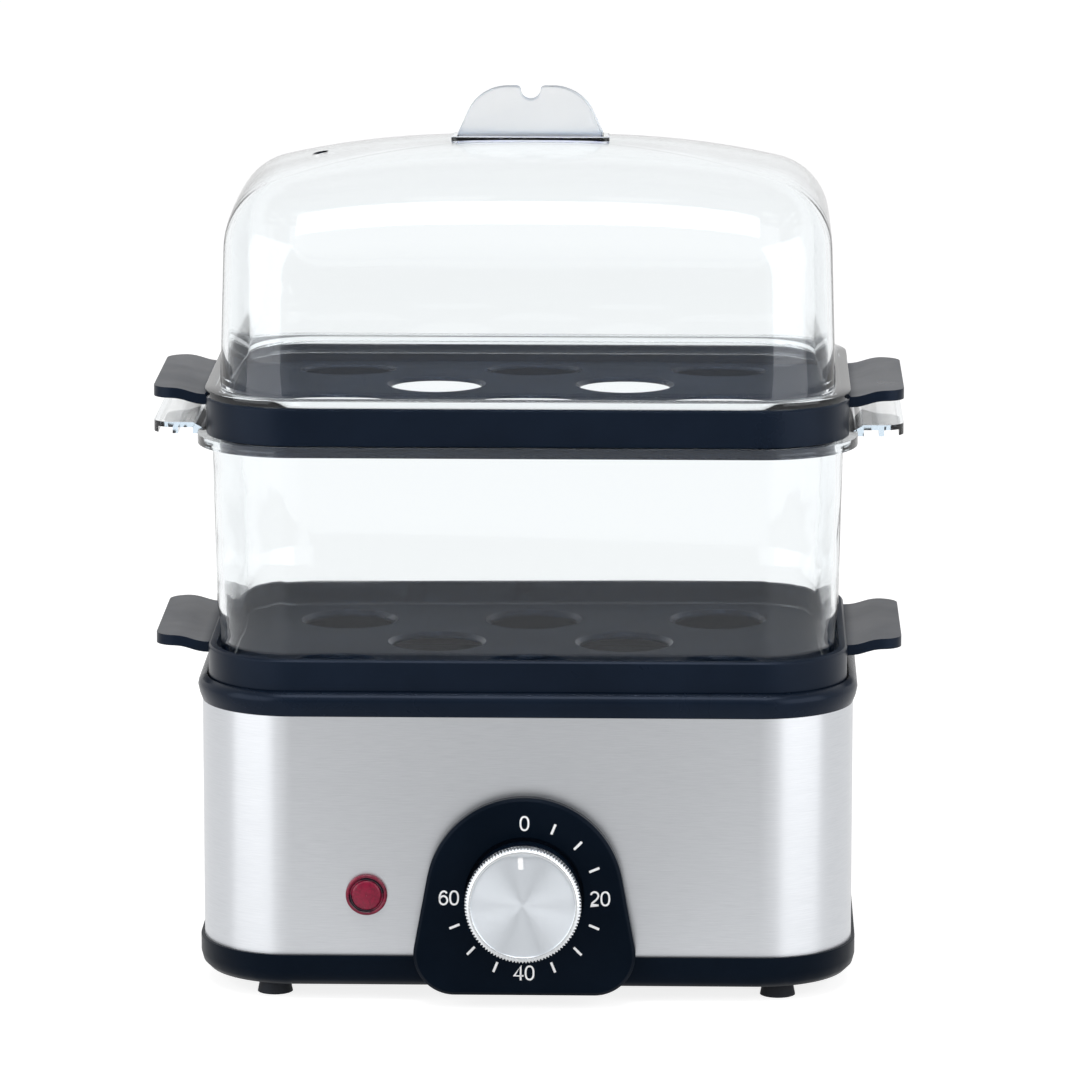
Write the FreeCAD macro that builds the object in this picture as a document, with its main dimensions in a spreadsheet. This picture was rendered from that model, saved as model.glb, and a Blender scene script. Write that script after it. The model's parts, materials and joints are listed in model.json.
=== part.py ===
"""Two-tier electric egg boiler with a 60 minute clockwork timer.

Frame: millimetres, +Z up, +X to the right, the dial faces -Y.  The origin is on the table,
under the middle of the box that holds the whole appliance.
Every outline in plan is the rounded rectangle of the egg tray's rim, moved in or out by an offset.
"""
import FreeCAD, Part
import math
import os
import Sketcher
from FreeCAD import Vector

doc = FreeCAD.newDocument("EggBoiler")
sheet = doc.addObject("Spreadsheet::Sheet", "Sizes")
sheet_rows = []


# ---------------------------------------------------------------- sizes

class Size:
    """A number together with the spreadsheet formula that gives it."""

    def __init__(self, value, text):
        self.value = value
        self.text = text

    def __add__(self, other):
        other = as_size(other)
        return Size(self.value + other.value, f"({self.text} + {other.text})")

    def __sub__(self, other):
        other = as_size(other)
        return Size(self.value - other.value, f"({self.text} - {other.text})")

    def __mul__(self, other):
        other = as_size(other)
        return Size(self.value * other.value, f"({self.text} * {other.text})")

    def __truediv__(self, other):
        other = as_size(other)
        return Size(self.value / other.value, f"({self.text} / {other.text})")

    def __neg__(self):
        return Size(-self.value, f"(-1 * {self.text})")


def as_size(number):
    return number if isinstance(number, Size) else Size(float(number), f"{float(number):.9g}")


def sine(angle):
    return Size(math.sin(math.radians(angle.value)), f"sin({angle.text})")


def cosine(angle):
    return Size(math.cos(math.radians(angle.value)), f"cos({angle.text})")


def tangent(angle):
    return Size(math.tan(math.radians(angle.value)), f"tan({angle.text})")


def size(alias, number, note):
    """Write one driving size into the sheet and hand it back for use in formulas."""
    row = len(sheet_rows) + 1
    sheet_rows.append(alias)
    sheet.set(f"A{row}", alias)
    sheet.set(f"B{row}", f"{number}")
    sheet.set(f"C{row}", note)
    sheet.setAlias(f"B{row}", alias)
    return Size(float(number), f"Sizes.{alias}")


ZERO = as_size(0)

# The rim of the egg trays, which all other outlines follow
rim_length = size("rim_length", 187.8, "egg tray rim, left to right")
rim_depth = size("rim_depth", 120.5, "egg tray rim, front to back")
rim_corner = size("rim_corner", 26, "corner radius of the egg tray rim in plan")

# Levels, from the table up
foot_height = size("foot_height", 4.1, "table to the underside of the base pan")
trim_height = size("trim_height", 9.9, "black skirt below the steel sleeve")
sleeve_height = size("sleeve_height", 71.3, "visible height of the steel sleeve")
collar_height = size("collar_height", 7.25, "visible height of the black collar")
seat_depth = size("seat_depth", 2.05, "how deep the lower tray's rim sinks into the collar")
tier_height = size("tier_height", 74.1, "one tray's seat to the next tray's seat")
lift_gap = size("lift_gap", 0.15, "gap between pieces that only rest on each other")
nest_gap = size("nest_gap", 0.5, "side clearance of pieces that nest")
fit_gap = size("fit_gap", 0.1, "gap between fixed pieces that are screwed or pressed together")

# Steel sleeve and its two plastic ends
sleeve_proud = size("sleeve_proud", 1.85, "sleeve's outer face beyond the tray rim")
sleeve_sheet = size("sleeve_sheet", 0.5, "thickness of the stainless sheet")
collar_proud = size("collar_proud", 1.3, "collar's bulge beyond the sleeve")
trim_proud = size("trim_proud", 1.1, "base pan's skirt beyond the sleeve")
trim_round = size("trim_round", 5, "rounding of the skirt's lower edge")
base_floor = size("base_floor", 2.2, "floor of the base pan")
inner_wall = size("inner_wall", 2.1, "upstand and collar skirt inside the sleeve")
inner_overlap = size("inner_overlap", 8, "how far upstand and collar skirt reach into the sleeve")
mouth_inset = size("mouth_inset", 3.5, "mouth of collar and clear tier, inside the tray rim")
shelf_drop = size("shelf_drop", 8.5, "tray seat down to the shelf that carries the water pan")
shelf_sheet = size("shelf_sheet", 2.5, "thickness of that shelf")
shelf_reach = size("shelf_reach", 14, "inner edge of the shelf, inside the tray rim")
post_width = size("post_width", 8, "square screw posts under the shelf")
screw_radius = size("screw_radius", 1.7, "case screw")
screw_head_width = size("screw_head_width", 6, "case screw's hexagon head across its flats")
screw_head_height = size("screw_head_height", 2.2, "case screw's head")
screw_grip = size("screw_grip", 16, "case screw's length inside its post")
foot_x = size("foot_x", 74, "rubber foot to the middle, sideways")
foot_y = size("foot_y", 50, "rubber foot to the middle, front to back")
foot_radius = size("foot_radius", 5.2, "rubber foot at the table")
foot_taper = size("foot_taper", 0.8, "rubber foot's growth towards the base pan")

# Water pan, its seal and what heats it
pan_sheet = size("pan_sheet", 1.5, "thickness of the water pan")
pan_depth = size("pan_depth", 13, "depth of the water pan below its flange")
pan_inset = size("pan_inset", 15, "wall of the water pan, inside the tray rim")
pan_bevel = size("pan_bevel", 3.5, "bevel between the pan's wall and floor")
seal_sheet = size("seal_sheet", 1.2, "silicone seal under the pan's flange")
tab_width = size("tab_width", 8, "tabs welded under the pan's flange")
tab_y = size("tab_y", 26, "tab to the middle, front to back")
tab_reach = size("tab_reach", 6.5, "tab below the shelf's top")
clip_plate = size("clip_plate", 14, "square spring clip on each tab")
heater_width = size("heater_width", 7, "flat face of the heater against the pan")
heater_height = size("heater_height", 6, "heater below the pan")
heater_bevel = size("heater_bevel", 1.6, "bevels on the heater's lower edges")
heater_bend = size("heater_bend", 23, "bend radius of the U-shaped heater")
heater_leg = size("heater_leg", 76, "straight leg of the U-shaped heater")
heater_blade = size("heater_blade", 0.8, "thickness of the heater's blade terminal")
heater_blade_length = size("heater_blade_length", 10, "heater's blade terminal")
heater_bead_radius = size("heater_bead_radius", 2.4, "ceramic bead at the heater's end")
heater_bead_length = size("heater_bead_length", 4, "ceramic bead at the heater's end")
clamp_width = size("clamp_width", 10, "strap that holds the heater against the pan")
clamp_sheet = size("clamp_sheet", 1.2, "thickness of that strap")
thermostat_radius = size("thermostat_radius", 8, "disc thermostat")
thermostat_height = size("thermostat_height", 9, "disc thermostat")
fuse_radius = size("fuse_radius", 2.2, "thermal fuse")
fuse_length = size("fuse_length", 12, "thermal fuse")

# Egg tray
tray_height = size("tray_height", 11, "tray rim")
tray_wall = size("tray_wall", 2.4, "thickness of the tray rim")
tray_floor_level = size("tray_floor_level", 4.5, "top of the tray's floor above its seat")
tray_floor_sheet = size("tray_floor_sheet", 2, "thickness of the tray's floor")
nest_depth = size("nest_depth", 4, "skirt under the tray that nests in the mouth below")
nest_wall = size("nest_wall", 1.8, "thickness of that skirt")
egg_pitch_x = size("egg_pitch_x", 56, "egg holes in the outer rows, sideways")
egg_pitch_y = size("egg_pitch_y", 33, "rows of egg holes, front to back")
egg_hole_radius = size("egg_hole_radius", 13.5, "egg hole")
egg_hole_flare = size("egg_hole_flare", 1.2, "chamfer round an egg hole")
handle_reach = size("handle_reach", 16.2, "tray handle beyond the rim")
handle_width = size("handle_width", 60, "tray handle, front to back")
handle_sheet = size("handle_sheet", 3.1, "thickness of the tray handle")
handle_rise = size("handle_rise", 0.9, "tray handle's outer end above the rim")
handle_dip = size("handle_dip", 1, "tray handle's root below the rim's top")
handle_flat = size("handle_flat", 7.5, "level outer part of the tray handle")
handle_root = size("handle_root", 2.6, "level part of the tray handle beside the rim")
handle_corner = size("handle_corner", 6, "corner radius of the handles in plan")
handle_bend = size("handle_bend", 15, "bend radius of the tray handle's curve")

# Clear middle tier
tier_wall = size("tier_wall", 1.8, "clear wall")
tier_neck_inset = size("tier_neck_inset", 3.7, "neck of the clear tier, inside the tray rim")
tier_neck_height = size("tier_neck_height", 11, "neck of the clear tier above the tray's floor")
tier_shoulder = size("tier_shoulder", 7, "height over which the neck widens into the wall")
tier_foot_inset = size("tier_foot_inset", 2.75, "wall of the clear tier above its neck, inside the rim")
tier_top_inset = size("tier_top_inset", 1.7, "wall of the clear tier under its flange, inside the rim")
flange_reach = size("flange_reach", 2.6, "flange of the clear tier beyond the tray rim")
flange_height = size("flange_height", 2.8, "flange of the clear tier")
grip_rise = size("grip_rise", 1.8, "clear handle's top above the flange")
grip_drop = size("grip_drop", 1.5, "clear handle's skirt below the flange's top")
grip_sheet = size("grip_sheet", 1.5, "thickness of the clear handle")
grip_rib = size("grip_rib", 1.6, "ribs under the clear handle")

# Lid
lid_height = size("lid_height", 70.8, "lid's top above the upper tray's rim")
lid_flange = size("lid_flange", 2.1, "thickness of the lid's flange")
lid_flange_reach = size("lid_flange_reach", 0.4, "lid's flange beyond the tray rim")
lid_foot_inset = size("lid_foot_inset", 4, "foot of the lid's wall, inside the tray rim")
lid_lip = size("lid_lip", 3, "lip under the lid that drops into the tray")
lid_wall = size("lid_wall", 1.8, "clear wall of the lid")
lid_draft = size("lid_draft", 1.75, "draft of the lid's wall, degrees")
lid_softer = size("lid_softer", 2, "lid's corners in plan, rounder than the rim's")
lid_shoulder = size("lid_shoulder", 23, "radius of the lid's shoulder")
crown_rise = size("crown_rise", 6.8, "dome of the lid's top above its shoulder")
crown_slope = size("crown_slope", 22, "slope where the shoulder meets the dome, degrees")
crown_inset = size("crown_inset", 21, "edge of the dome, inside the tray rim")
crown_span_x = size("crown_span_x", 60, "edge of the dome to its flat middle, from left or right")
crown_span_y = size("crown_span_y", 26, "edge of the dome to its flat middle, from front or back")
vent_radius = size("vent_radius", 2.2, "steam vent in the lid")
vent_x = size("vent_x", 62, "steam vent to the middle, towards the left")
fin_length = size("fin_length", 44.5, "grip fin on the lid, at its foot")
fin_height = size("fin_height", 15.6, "grip fin above the lid's crown")
fin_foot = size("fin_foot", 9, "thickness of the fin at its foot")
fin_top = size("fin_top", 4, "thickness of the fin at its top")
fin_round = size("fin_round", 13, "rounding of the fin's upper corners")
fin_lean = size("fin_lean", 24, "lean of the fin's ends, degrees")
fin_wall = size("fin_wall", 1.3, "wall of the hollow fin")
fin_base = size("fin_base", 1, "step round the foot of the fin")
notch_radius = size("notch_radius", 2.9, "notch in the fin's top")

# Timer: bezel, knob, movement. Their own frame lies on the bezel's face, its +Z along the shaft.
dial_level = size("dial_level", 33.6, "middle of the dial above the table")
dial_tilt = size("dial_tilt", 4.5, "dial leans back by this many degrees")
bezel_depth = size("bezel_depth", 7, "bezel's face before the sleeve, at the middle of the dial")
bezel_arch = size("bezel_arch", 28.9, "radius of the bezel's arched top")
bezel_drop = size("bezel_drop", 29.2, "middle of the dial to the bezel's lower edge")
bezel_corner = size("bezel_corner", 12, "radius of the bezel's lower corners")
bezel_flare = size("bezel_flare", 10.5, "bezel's sides spread downwards, degrees")
bezel_bevel = size("bezel_bevel", 0.9, "bevel of the bezel's front edge")
bezel_wall = size("bezel_wall", 2.2, "moulded wall of the bezel")
well_radius = size("well_radius", 17.3, "well in the bezel for the knob")
well_depth = size("well_depth", 1.6, "depth of the knob's well")
well_floor = size("well_floor", 2.4, "plastic under the knob's well")
knob_radius = size("knob_radius", 16.9, "knurled rim of the knob's cap")
knob_height = size("knob_height", 16.5, "knob's face before the bezel's face")
knob_cap_depth = size("knob_cap_depth", 6, "depth of the knob's metal cap")
knob_skirt_radius = size("knob_skirt_radius", 16.2, "black skirt of the knob")
knob_gap = size("knob_gap", 0.6, "knob's skirt above the floor of its well")
knob_wall = size("knob_wall", 2, "wall of the knob's skirt")
face_radius = size("face_radius", 15.1, "spun face of the knob's cap")
face_recess = size("face_recess", 0.5, "spun face below the knob's rim")
face_chord = size("face_chord", 14.4, "flat at the top of the spun face")
cap_chamfer = size("cap_chamfer", 0.8, "chamfer on the rim of the knob's cap")
hub_radius = size("hub_radius", 5.5, "hub of the knob")
shaft_radius = size("shaft_radius", 3, "timer shaft")
shaft_flat = size("shaft_flat", 1, "depth of the flat on the timer shaft")
shaft_engage = size("shaft_engage", 11, "timer shaft inside the knob's hub")
bearing_gap = size("bearing_gap", 0.05, "radial clearance of the timer shaft")
plate_gap = size("plate_gap", 11, "bezel's face to the timer's front plate")
plate_sheet = size("plate_sheet", 1.5, "timer's front plate")
plate_length = size("plate_length", 50, "timer's front plate, side to side")
plate_width = size("plate_width", 26, "timer's front plate, up and down")
timer_radius = size("timer_radius", 20.5, "clockwork case")
timer_depth = size("timer_depth", 22, "clockwork case")
timer_screw_x = size("timer_screw_x", 10, "timer screw to the shaft")
timer_screw_radius = size("timer_screw_radius", 1.9, "timer screw")
timer_head_radius = size("timer_head_radius", 3.2, "timer screw's head")
timer_head_height = size("timer_head_height", 1.6, "timer screw's head")
bell_radius = size("bell_radius", 15, "bell on the back of the timer")
bell_height = size("bell_height", 7, "bell on the back of the timer")
bell_sheet = size("bell_sheet", 0.9, "thickness of the bell")
bell_bevel = size("bell_bevel", 0.5, "bevel of the bell")
cutout_radius = size("cutout_radius", 16, "opening in the sleeve behind the bezel")

# Indicator lamp
lamp_x = size("lamp_x", 46.3, "indicator lamp to the middle, towards the left")
lamp_level = size("lamp_level", 32.3, "indicator lamp above the table")
lens_radius = size("lens_radius", 6.1, "red lens")
lens_rim = size("lens_rim", 1.4, "rim of the red lens in front of the sleeve")
lens_dome = size("lens_dome", 0.9, "dome of the red lens")
lens_barrel_radius = size("lens_barrel_radius", 4.9, "barrel of the red lens")
lens_barrel_length = size("lens_barrel_length", 15, "barrel of the red lens")
lens_wall = size("lens_wall", 1, "wall of the red lens")
bulb_radius = size("bulb_radius", 2.8, "neon bulb")
bulb_length = size("bulb_length", 12, "neon bulb")
clip_radius = size("clip_radius", 7.5, "push-on clip behind the sleeve")
clip_sheet = size("clip_sheet", 1, "thickness of the clip")

# Mains entry and terminals
gland_x = size("gland_x", 58, "cord gland to the middle, towards the right")
gland_level = size("gland_level", 30, "cord gland above the table")
gland_bore = size("gland_bore", 3.6, "throat for the mains lead, in the gland's flange")
gland_relief = size("gland_relief", 4.7, "wider bore behind the throat")
gland_barrel = size("gland_barrel", 6.2, "barrel of the gland")
gland_flange = size("gland_flange", 8.5, "flange of the gland")
gland_flange_sheet = size("gland_flange_sheet", 3, "thickness of that flange")
gland_length = size("gland_length", 10, "barrel inside the sleeve")
gland_barb = size("gland_barb", 1, "barb behind the sheet, and the flange's bevel")
block_x = size("block_x", 34, "terminal block to the middle, towards the right")
block_y = size("block_y", 36, "terminal block to the middle, towards the back")
block_pitch = size("block_pitch", 9, "poles of the terminal block")
block_depth = size("block_depth", 16, "terminal block, front to back")
block_height = size("block_height", 11, "terminal block")
block_wire = size("block_wire", 4, "square wire holes of the terminal block")

# ---------------------------------------------------------------- levels and outlines

sleeve_bottom = foot_height + trim_height
sleeve_top = sleeve_bottom + sleeve_height
collar_top = sleeve_top + collar_height
lower_seat = collar_top - seat_depth
shelf_top = lower_seat - shelf_drop
shelf_bottom = shelf_top - shelf_sheet
pan_flange_bottom = shelf_top + seal_sheet
pan_flange_top = pan_flange_bottom + pan_sheet
pan_bottom = pan_flange_top - pan_depth
upper_seat = lower_seat + tier_height
sleeve_inner = sleeve_proud - sleeve_sheet
sleeve_half_depth = rim_depth / 2 + sleeve_proud
trim_offset = sleeve_proud + trim_proud
front_reach = sleeve_half_depth + (bezel_depth + knob_height * cosine(dial_tilt)
                                   + knob_radius * sine(dial_tilt))
body_shift = (front_reach - sleeve_half_depth - gland_flange_sheet) / 2


def rim_half_x(offset):
    return rim_length / 2 + offset


def rim_half_y(offset):
    return rim_depth / 2 + offset


def rim_radius(offset):
    return rim_corner + offset


post_x = rim_half_x(-(mouth_inset + shelf_reach) / 2)
tab_x = post_x


def outline_offset(point, softer=ZERO):
    """How far a point lies outside the egg tray's rim in plan; negative inside it."""
    corner = rim_corner.value + softer.value
    across = abs(point.x) - (rim_length.value / 2 - corner)
    along = abs(point.y) - (rim_depth.value / 2 - corner)
    if across > 0 and along > 0:
        return math.hypot(across, along) - corner
    return max(across, along) - corner


# ---------------------------------------------------------------- building blocks

finished = []


def bind(item, path, formula):
    item.setExpression(path, formula.text)


def place(item, x=ZERO, y=ZERO, z=ZERO, turn=0.0, turn_formula=None):
    """Set a sub-part in the appliance: its own origin, turned about the X direction."""
    item.Placement = FreeCAD.Placement(Vector(0, 0, 0), FreeCAD.Rotation(Vector(1, 0, 0), turn))
    bind(item, "Placement.Base.x", x)
    bind(item, "Placement.Base.y", y + body_shift)
    bind(item, "Placement.Base.z", z)
    if turn_formula is not None:
        bind(item, "Placement.Rotation.Angle", turn_formula)


def finish(item, label, **where):
    """Name a finished sub-part and put it in its place."""
    item.Label = label
    place(item, **where)
    finished.append(item)
    return item


def new_body(name):
    return doc.addObject("PartDesign::Body", name)


def origin_plane(body, role):
    return next(feature for feature in body.Origin.OriginFeatures if feature.Role == role)


def new_sketch(body, name, role="XY_Plane", height=None):
    sketch = body.newObject("Sketcher::SketchObject", name)
    sketch.AttachmentSupport = [(origin_plane(body, role), "")]
    sketch.MapMode = "FlatFace"
    if height is not None:
        bind(sketch, "AttachmentOffset.Base.z", height)
    return sketch


def dimension(sketch, kind, places, formula):
    """A driving dimension whose value follows a formula."""
    index = sketch.addConstraint(Sketcher.Constraint(kind, *places, formula.value))
    name = f"d{index}"
    sketch.renameConstraint(index, name)
    bind(sketch, f"Constraints.{name}", formula)


def rounded_rectangle(sketch, half_x, half_y, radius, centre_x=ZERO, centre_y=ZERO):
    """Four lines and four equal arcs round a centre."""
    x, y, r = half_x.value, half_y.value, radius.value
    cx, cy = centre_x.value, centre_y.value
    first = sketch.GeometryCount

    def line(x1, y1, x2, y2):
        return Part.LineSegment(Vector(cx + x1, cy + y1, 0), Vector(cx + x2, cy + y2, 0))

    def corner(x1, y1, start):
        circle = Part.Circle(Vector(cx + x1, cy + y1, 0), Vector(0, 0, 1), r)
        return Part.ArcOfCircle(circle, math.radians(start), math.radians(start + 90))

    sketch.addGeometry([
        line(-x + r, -y, x - r, -y), corner(x - r, -y + r, -90),
        line(x, -y + r, x, y - r), corner(x - r, y - r, 0),
        line(x - r, y, -x + r, y), corner(-x + r, y - r, 90),
        line(-x, y - r, -x, -y + r), corner(-x + r, -y + r, 180)], False)
    for i in range(8):
        sketch.addConstraint(Sketcher.Constraint("Tangent", first + i, 2, first + (i + 1) % 8, 1))
    for i in (0, 4):
        sketch.addConstraint(Sketcher.Constraint("Horizontal", first + i))
        sketch.addConstraint(Sketcher.Constraint("Vertical", first + i + 2))
    for i in (3, 5, 7):
        sketch.addConstraint(Sketcher.Constraint("Equal", first + 1, first + i))
    dimension(sketch, "DistanceX", (-1, 1, first + 2, 1), centre_x + half_x)
    dimension(sketch, "DistanceX", (-1, 1, first + 6, 1), centre_x - half_x)
    dimension(sketch, "DistanceY", (-1, 1, first + 4, 1), centre_y + half_y)
    dimension(sketch, "DistanceY", (-1, 1, first, 1), centre_y - half_y)
    dimension(sketch, "Radius", (first + 1,), radius)


def circle(sketch, radius, x=ZERO, y=ZERO):
    index = sketch.addGeometry(
        Part.Circle(Vector(x.value, y.value, 0), Vector(0, 0, 1), radius.value), False)
    dimension(sketch, "DistanceX", (-1, 1, index, 3), x)
    dimension(sketch, "DistanceY", (-1, 1, index, 3), y)
    dimension(sketch, "Radius", (index,), radius)


def polygon(sketch, corners):
    """A closed outline of straight edges; each corner is held by two formulas."""
    first = sketch.GeometryCount
    count = len(corners)
    points = [Vector(x.value, y.value, 0) for x, y in corners]
    lines = [Part.LineSegment(points[i], points[(i + 1) % count]) for i in range(count)]
    sketch.addGeometry(lines, False)
    for i in range(count):
        follower = first + (i + 1) % count
        sketch.addConstraint(Sketcher.Constraint("Coincident", first + i, 2, follower, 1))
    for i, (x, y) in enumerate(corners):
        dimension(sketch, "DistanceX", (-1, 1, first + i, 1), x)
        dimension(sketch, "DistanceY", (-1, 1, first + i, 1), y)


def arc_points(x, y, radius, start, end, steps):
    """Points on an arc, in degrees, with both ends."""
    points = []
    for i in range(steps + 1):
        angle = math.radians(start + (end - start) * i / steps)
        points.append((x + radius * round(math.cos(angle), 9), y + radius * round(math.sin(angle), 9)))
    return points


def box_corners(x0, x1, y0, y1):
    return [(x0, y0), (x1, y0), (x1, y1), (x0, y1)]


def pad(body, sketch, length, reverse=False, taper=None, both=False):
    feature = body.newObject("PartDesign::Pad", f"Pad_{sketch.Name}")
    feature.Profile = sketch
    feature.Reversed = reverse
    feature.Midplane = both
    bind(feature, "Length", length)
    if taper is not None:
        bind(feature, "TaperAngle", taper)
    doc.recompute()
    return feature


def pocket(body, sketch, depth=None, reverse=False, both=False):
    """Cut a sketch out of the body, through all of it where no depth is given."""
    before = body.Shape.Volume
    feature = body.newObject("PartDesign::Pocket", f"Cut_{sketch.Name}")
    feature.Profile = sketch
    feature.Reversed = reverse
    feature.Midplane = both
    if depth is None:
        feature.Type = "ThroughAll"
    else:
        bind(feature, "Length", depth)
    doc.recompute()
    if body.Shape.Volume > before - 1e-3:
        raise RuntimeError(f"{feature.Name} cuts nothing from {body.Name}")
    return feature


def sweep_round_rim(body, name, profile, softer=ZERO):
    """Sweep a section (offset from the rim, level) along the egg tray's outline."""
    path = new_sketch(body, f"{name}_Path")
    rounded_rectangle(path, rim_half_x(ZERO), rim_half_y(ZERO), rim_radius(softer))
    section = new_sketch(body, f"{name}_Section", "XZ_Plane")
    polygon(section, [(rim_half_x(offset), level) for offset, level in profile])
    doc.recompute()
    feature = body.newObject("PartDesign::AdditivePipe", f"{name}_Sweep")
    feature.Profile = section
    feature.Spine = (path, [])
    doc.recompute()
    return feature


def plate(body, name, level, thickness, offset, taper=None):
    """A plate of the rim's shape, moved in or out, that grows upwards from a level."""
    sketch = new_sketch(body, name, height=level)
    rounded_rectangle(sketch, rim_half_x(offset), rim_half_y(offset), rim_radius(offset))
    return pad(body, sketch, thickness, taper=taper)


def cut_plate(body, name, level, depth, offset):
    """Remove such a plate, downwards from a level."""
    sketch = new_sketch(body, name, height=level)
    rounded_rectangle(sketch, rim_half_x(offset), rim_half_y(offset), rim_radius(offset))
    return pocket(body, sketch, depth)


def round_edges(body, name, radius, chosen, kind="PartDesign::Fillet"):
    """Round or chamfer the edges of the body's last feature that a test picks out."""
    tip = body.Tip
    names = [f"Edge{i + 1}" for i, edge in enumerate(tip.Shape.Edges) if chosen(edge)]
    feature = body.newObject(kind, name)
    feature.Base = (tip, names)
    bind(feature, "Radius" if kind.endswith("Fillet") else "Size", radius)
    doc.recompute()
    return feature


def middle(edge):
    return edge.valueAt((edge.FirstParameter + edge.LastParameter) / 2)


def on_level(edge, level):
    """True for an edge that lies flat at a level."""
    return edge.BoundBox.ZLength < 0.01 and abs(middle(edge).z - level.value) < 0.01


def on_ring(edge, offset, level, softer=ZERO, reach=0.05):
    """True for an edge that follows the rim's outline at this offset and level."""
    points = [vertex.Point for vertex in edge.Vertexes] + [middle(edge)]
    return all(abs(point.z - level.value) < reach
               and abs(outline_offset(point, softer) - offset.value) < reach for point in points)


def ring_edges(offset, level, softer=ZERO):
    """A test for the edges on one such ring."""
    return lambda edge: on_ring(edge, offset, level, softer)


def upright_at(x, y, reach=0.6):
    """A test for upright edges near (+-x, +-y)."""
    def test(edge):
        bounds = edge.BoundBox
        point = middle(edge)
        return (bounds.XLength < 0.01 and bounds.YLength < 0.01 and bounds.ZLength > 0.5
                and abs(abs(point.x) - x.value) < reach and abs(abs(point.y) - y.value) < reach)
    return test


def mirrored(x, y):
    """The four points (+-x, +-y)."""
    return [(x, y), (-x, y), (-x, -y), (x, -y)]


def revolve(body, name, profile):
    """Turn a profile (radius, height) about the body's own Z axis."""
    sketch = new_sketch(body, name, "XZ_Plane")
    polygon(sketch, profile)
    feature = body.newObject("PartDesign::Revolution", f"Turn_{name}")
    feature.Profile = sketch
    feature.ReferenceAxis = (sketch, ["V_Axis"])
    feature.Angle = 360
    doc.recompute()
    return feature


# ---------------------------------------------------------------- base

def make_base_pan():
    """Moulded pan: black skirt with a rounded lower edge, vented floor, upstand in the sleeve."""
    body = new_body("BasePan")
    floor_top = foot_height + base_floor
    upstand_outer = sleeve_inner - fit_gap
    upstand_inner = upstand_outer - inner_wall
    curve = arc_points(trim_offset - trim_round, foot_height + trim_round, trim_round, -90, 0, 3)
    sweep_round_rim(body, "Skirt", curve + [
        (trim_offset, sleeve_bottom), (upstand_outer, sleeve_bottom),
        (upstand_outer, sleeve_bottom + inner_overlap), (upstand_inner, sleeve_bottom + inner_overlap),
        (upstand_inner, floor_top), (-shelf_reach, floor_top), (-shelf_reach, foot_height)])
    plate(body, "Floor", foot_height, base_floor, base_floor - shelf_reach)
    holes = new_sketch(body, "ScrewHoles", height=floor_top)
    for side in (-1, 1):
        circle(holes, screw_radius + fit_gap, post_x * side)
    pocket(body, holes)
    vents = new_sketch(body, "Vents", height=floor_top)
    for i in range(-3, 4):
        x = block_x * (0.3 * i)
        polygon(vents, box_corners(x - base_floor, x + base_floor, -block_y / 2, block_y / 4))
    pocket(body, vents)
    return finish(body, "base_pan")


def make_sleeve():
    """Stainless band, with openings for timer, lamp and mains gland."""
    body = new_body("SteelSleeve")
    plate(body, "Outer", sleeve_bottom, sleeve_height, sleeve_proud)
    cut_plate(body, "Inner", sleeve_top, sleeve_height, sleeve_inner)
    front = new_sketch(body, "FrontHoles", "XZ_Plane", height=sleeve_half_depth)
    circle(front, cutout_radius, ZERO, dial_level)
    circle(front, lens_barrel_radius + fit_gap, -lamp_x, lamp_level)
    pocket(body, front, sleeve_proud * 2)
    back = new_sketch(body, "BackHole", "XZ_Plane", height=-sleeve_half_depth)
    circle(back, gland_barrel + fit_gap, gland_x, gland_level)
    pocket(body, back, sleeve_proud * 2, reverse=True)
    return finish(body, "steel_sleeve")


def make_collar():
    """Moulded ring: cushion-shaped outside, seat for the tray, shelf for the pan, screw posts."""
    body = new_body("BaseCollar")
    skirt_outer = sleeve_inner - fit_gap
    skirt_inner = skirt_outer - inner_wall
    bulge_level = sleeve_top + collar_height * 0.5
    round_top = collar_height * 0.4
    bulge = sleeve_proud + collar_proud
    curve = arc_points(bulge - round_top, collar_top - round_top, round_top, 0, 75, 3)
    sweep_round_rim(body, "Ring", [
        (sleeve_proud, sleeve_top), (sleeve_proud + collar_proud * 0.65, bulge_level - round_top / 2),
        *curve, (nest_gap, collar_top), (nest_gap, lower_seat), (-mouth_inset, lower_seat),
        (-mouth_inset, shelf_top), (-shelf_reach, shelf_top), (-shelf_reach, shelf_bottom),
        (skirt_inner, shelf_bottom), (skirt_inner, sleeve_top - inner_overlap),
        (skirt_outer, sleeve_top - inner_overlap), (skirt_outer, sleeve_top)])
    posts = new_sketch(body, "Posts", height=shelf_bottom + shelf_sheet / 2)
    post_foot = foot_height + base_floor
    half = post_width / 2
    for side in (-1, 1):
        x = post_x * side
        polygon(posts, box_corners(x - half, x + half, -half, half))
    pad(body, posts, shelf_bottom + shelf_sheet / 2 - post_foot, reverse=True)
    pilots = new_sketch(body, "Pilots", height=post_foot)
    for side in (-1, 1):
        circle(pilots, screw_radius + bearing_gap, post_x * side)
    pocket(body, pilots, screw_grip + fit_gap, reverse=True)
    slots = new_sketch(body, "TabSlots", height=shelf_top)
    tab_holes(slots, fit_gap)
    pocket(body, slots, shelf_sheet)
    return finish(body, "base_collar")


def tab_holes(sketch, gap):
    """The four places of the pan's tabs, with a gap all round."""
    for x, y in mirrored(tab_x, tab_y):
        polygon(sketch, box_corners(x - pan_sheet / 2 - gap, x + pan_sheet / 2 + gap,
                                    y - tab_width / 2 - gap, y + tab_width / 2 + gap))


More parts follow.
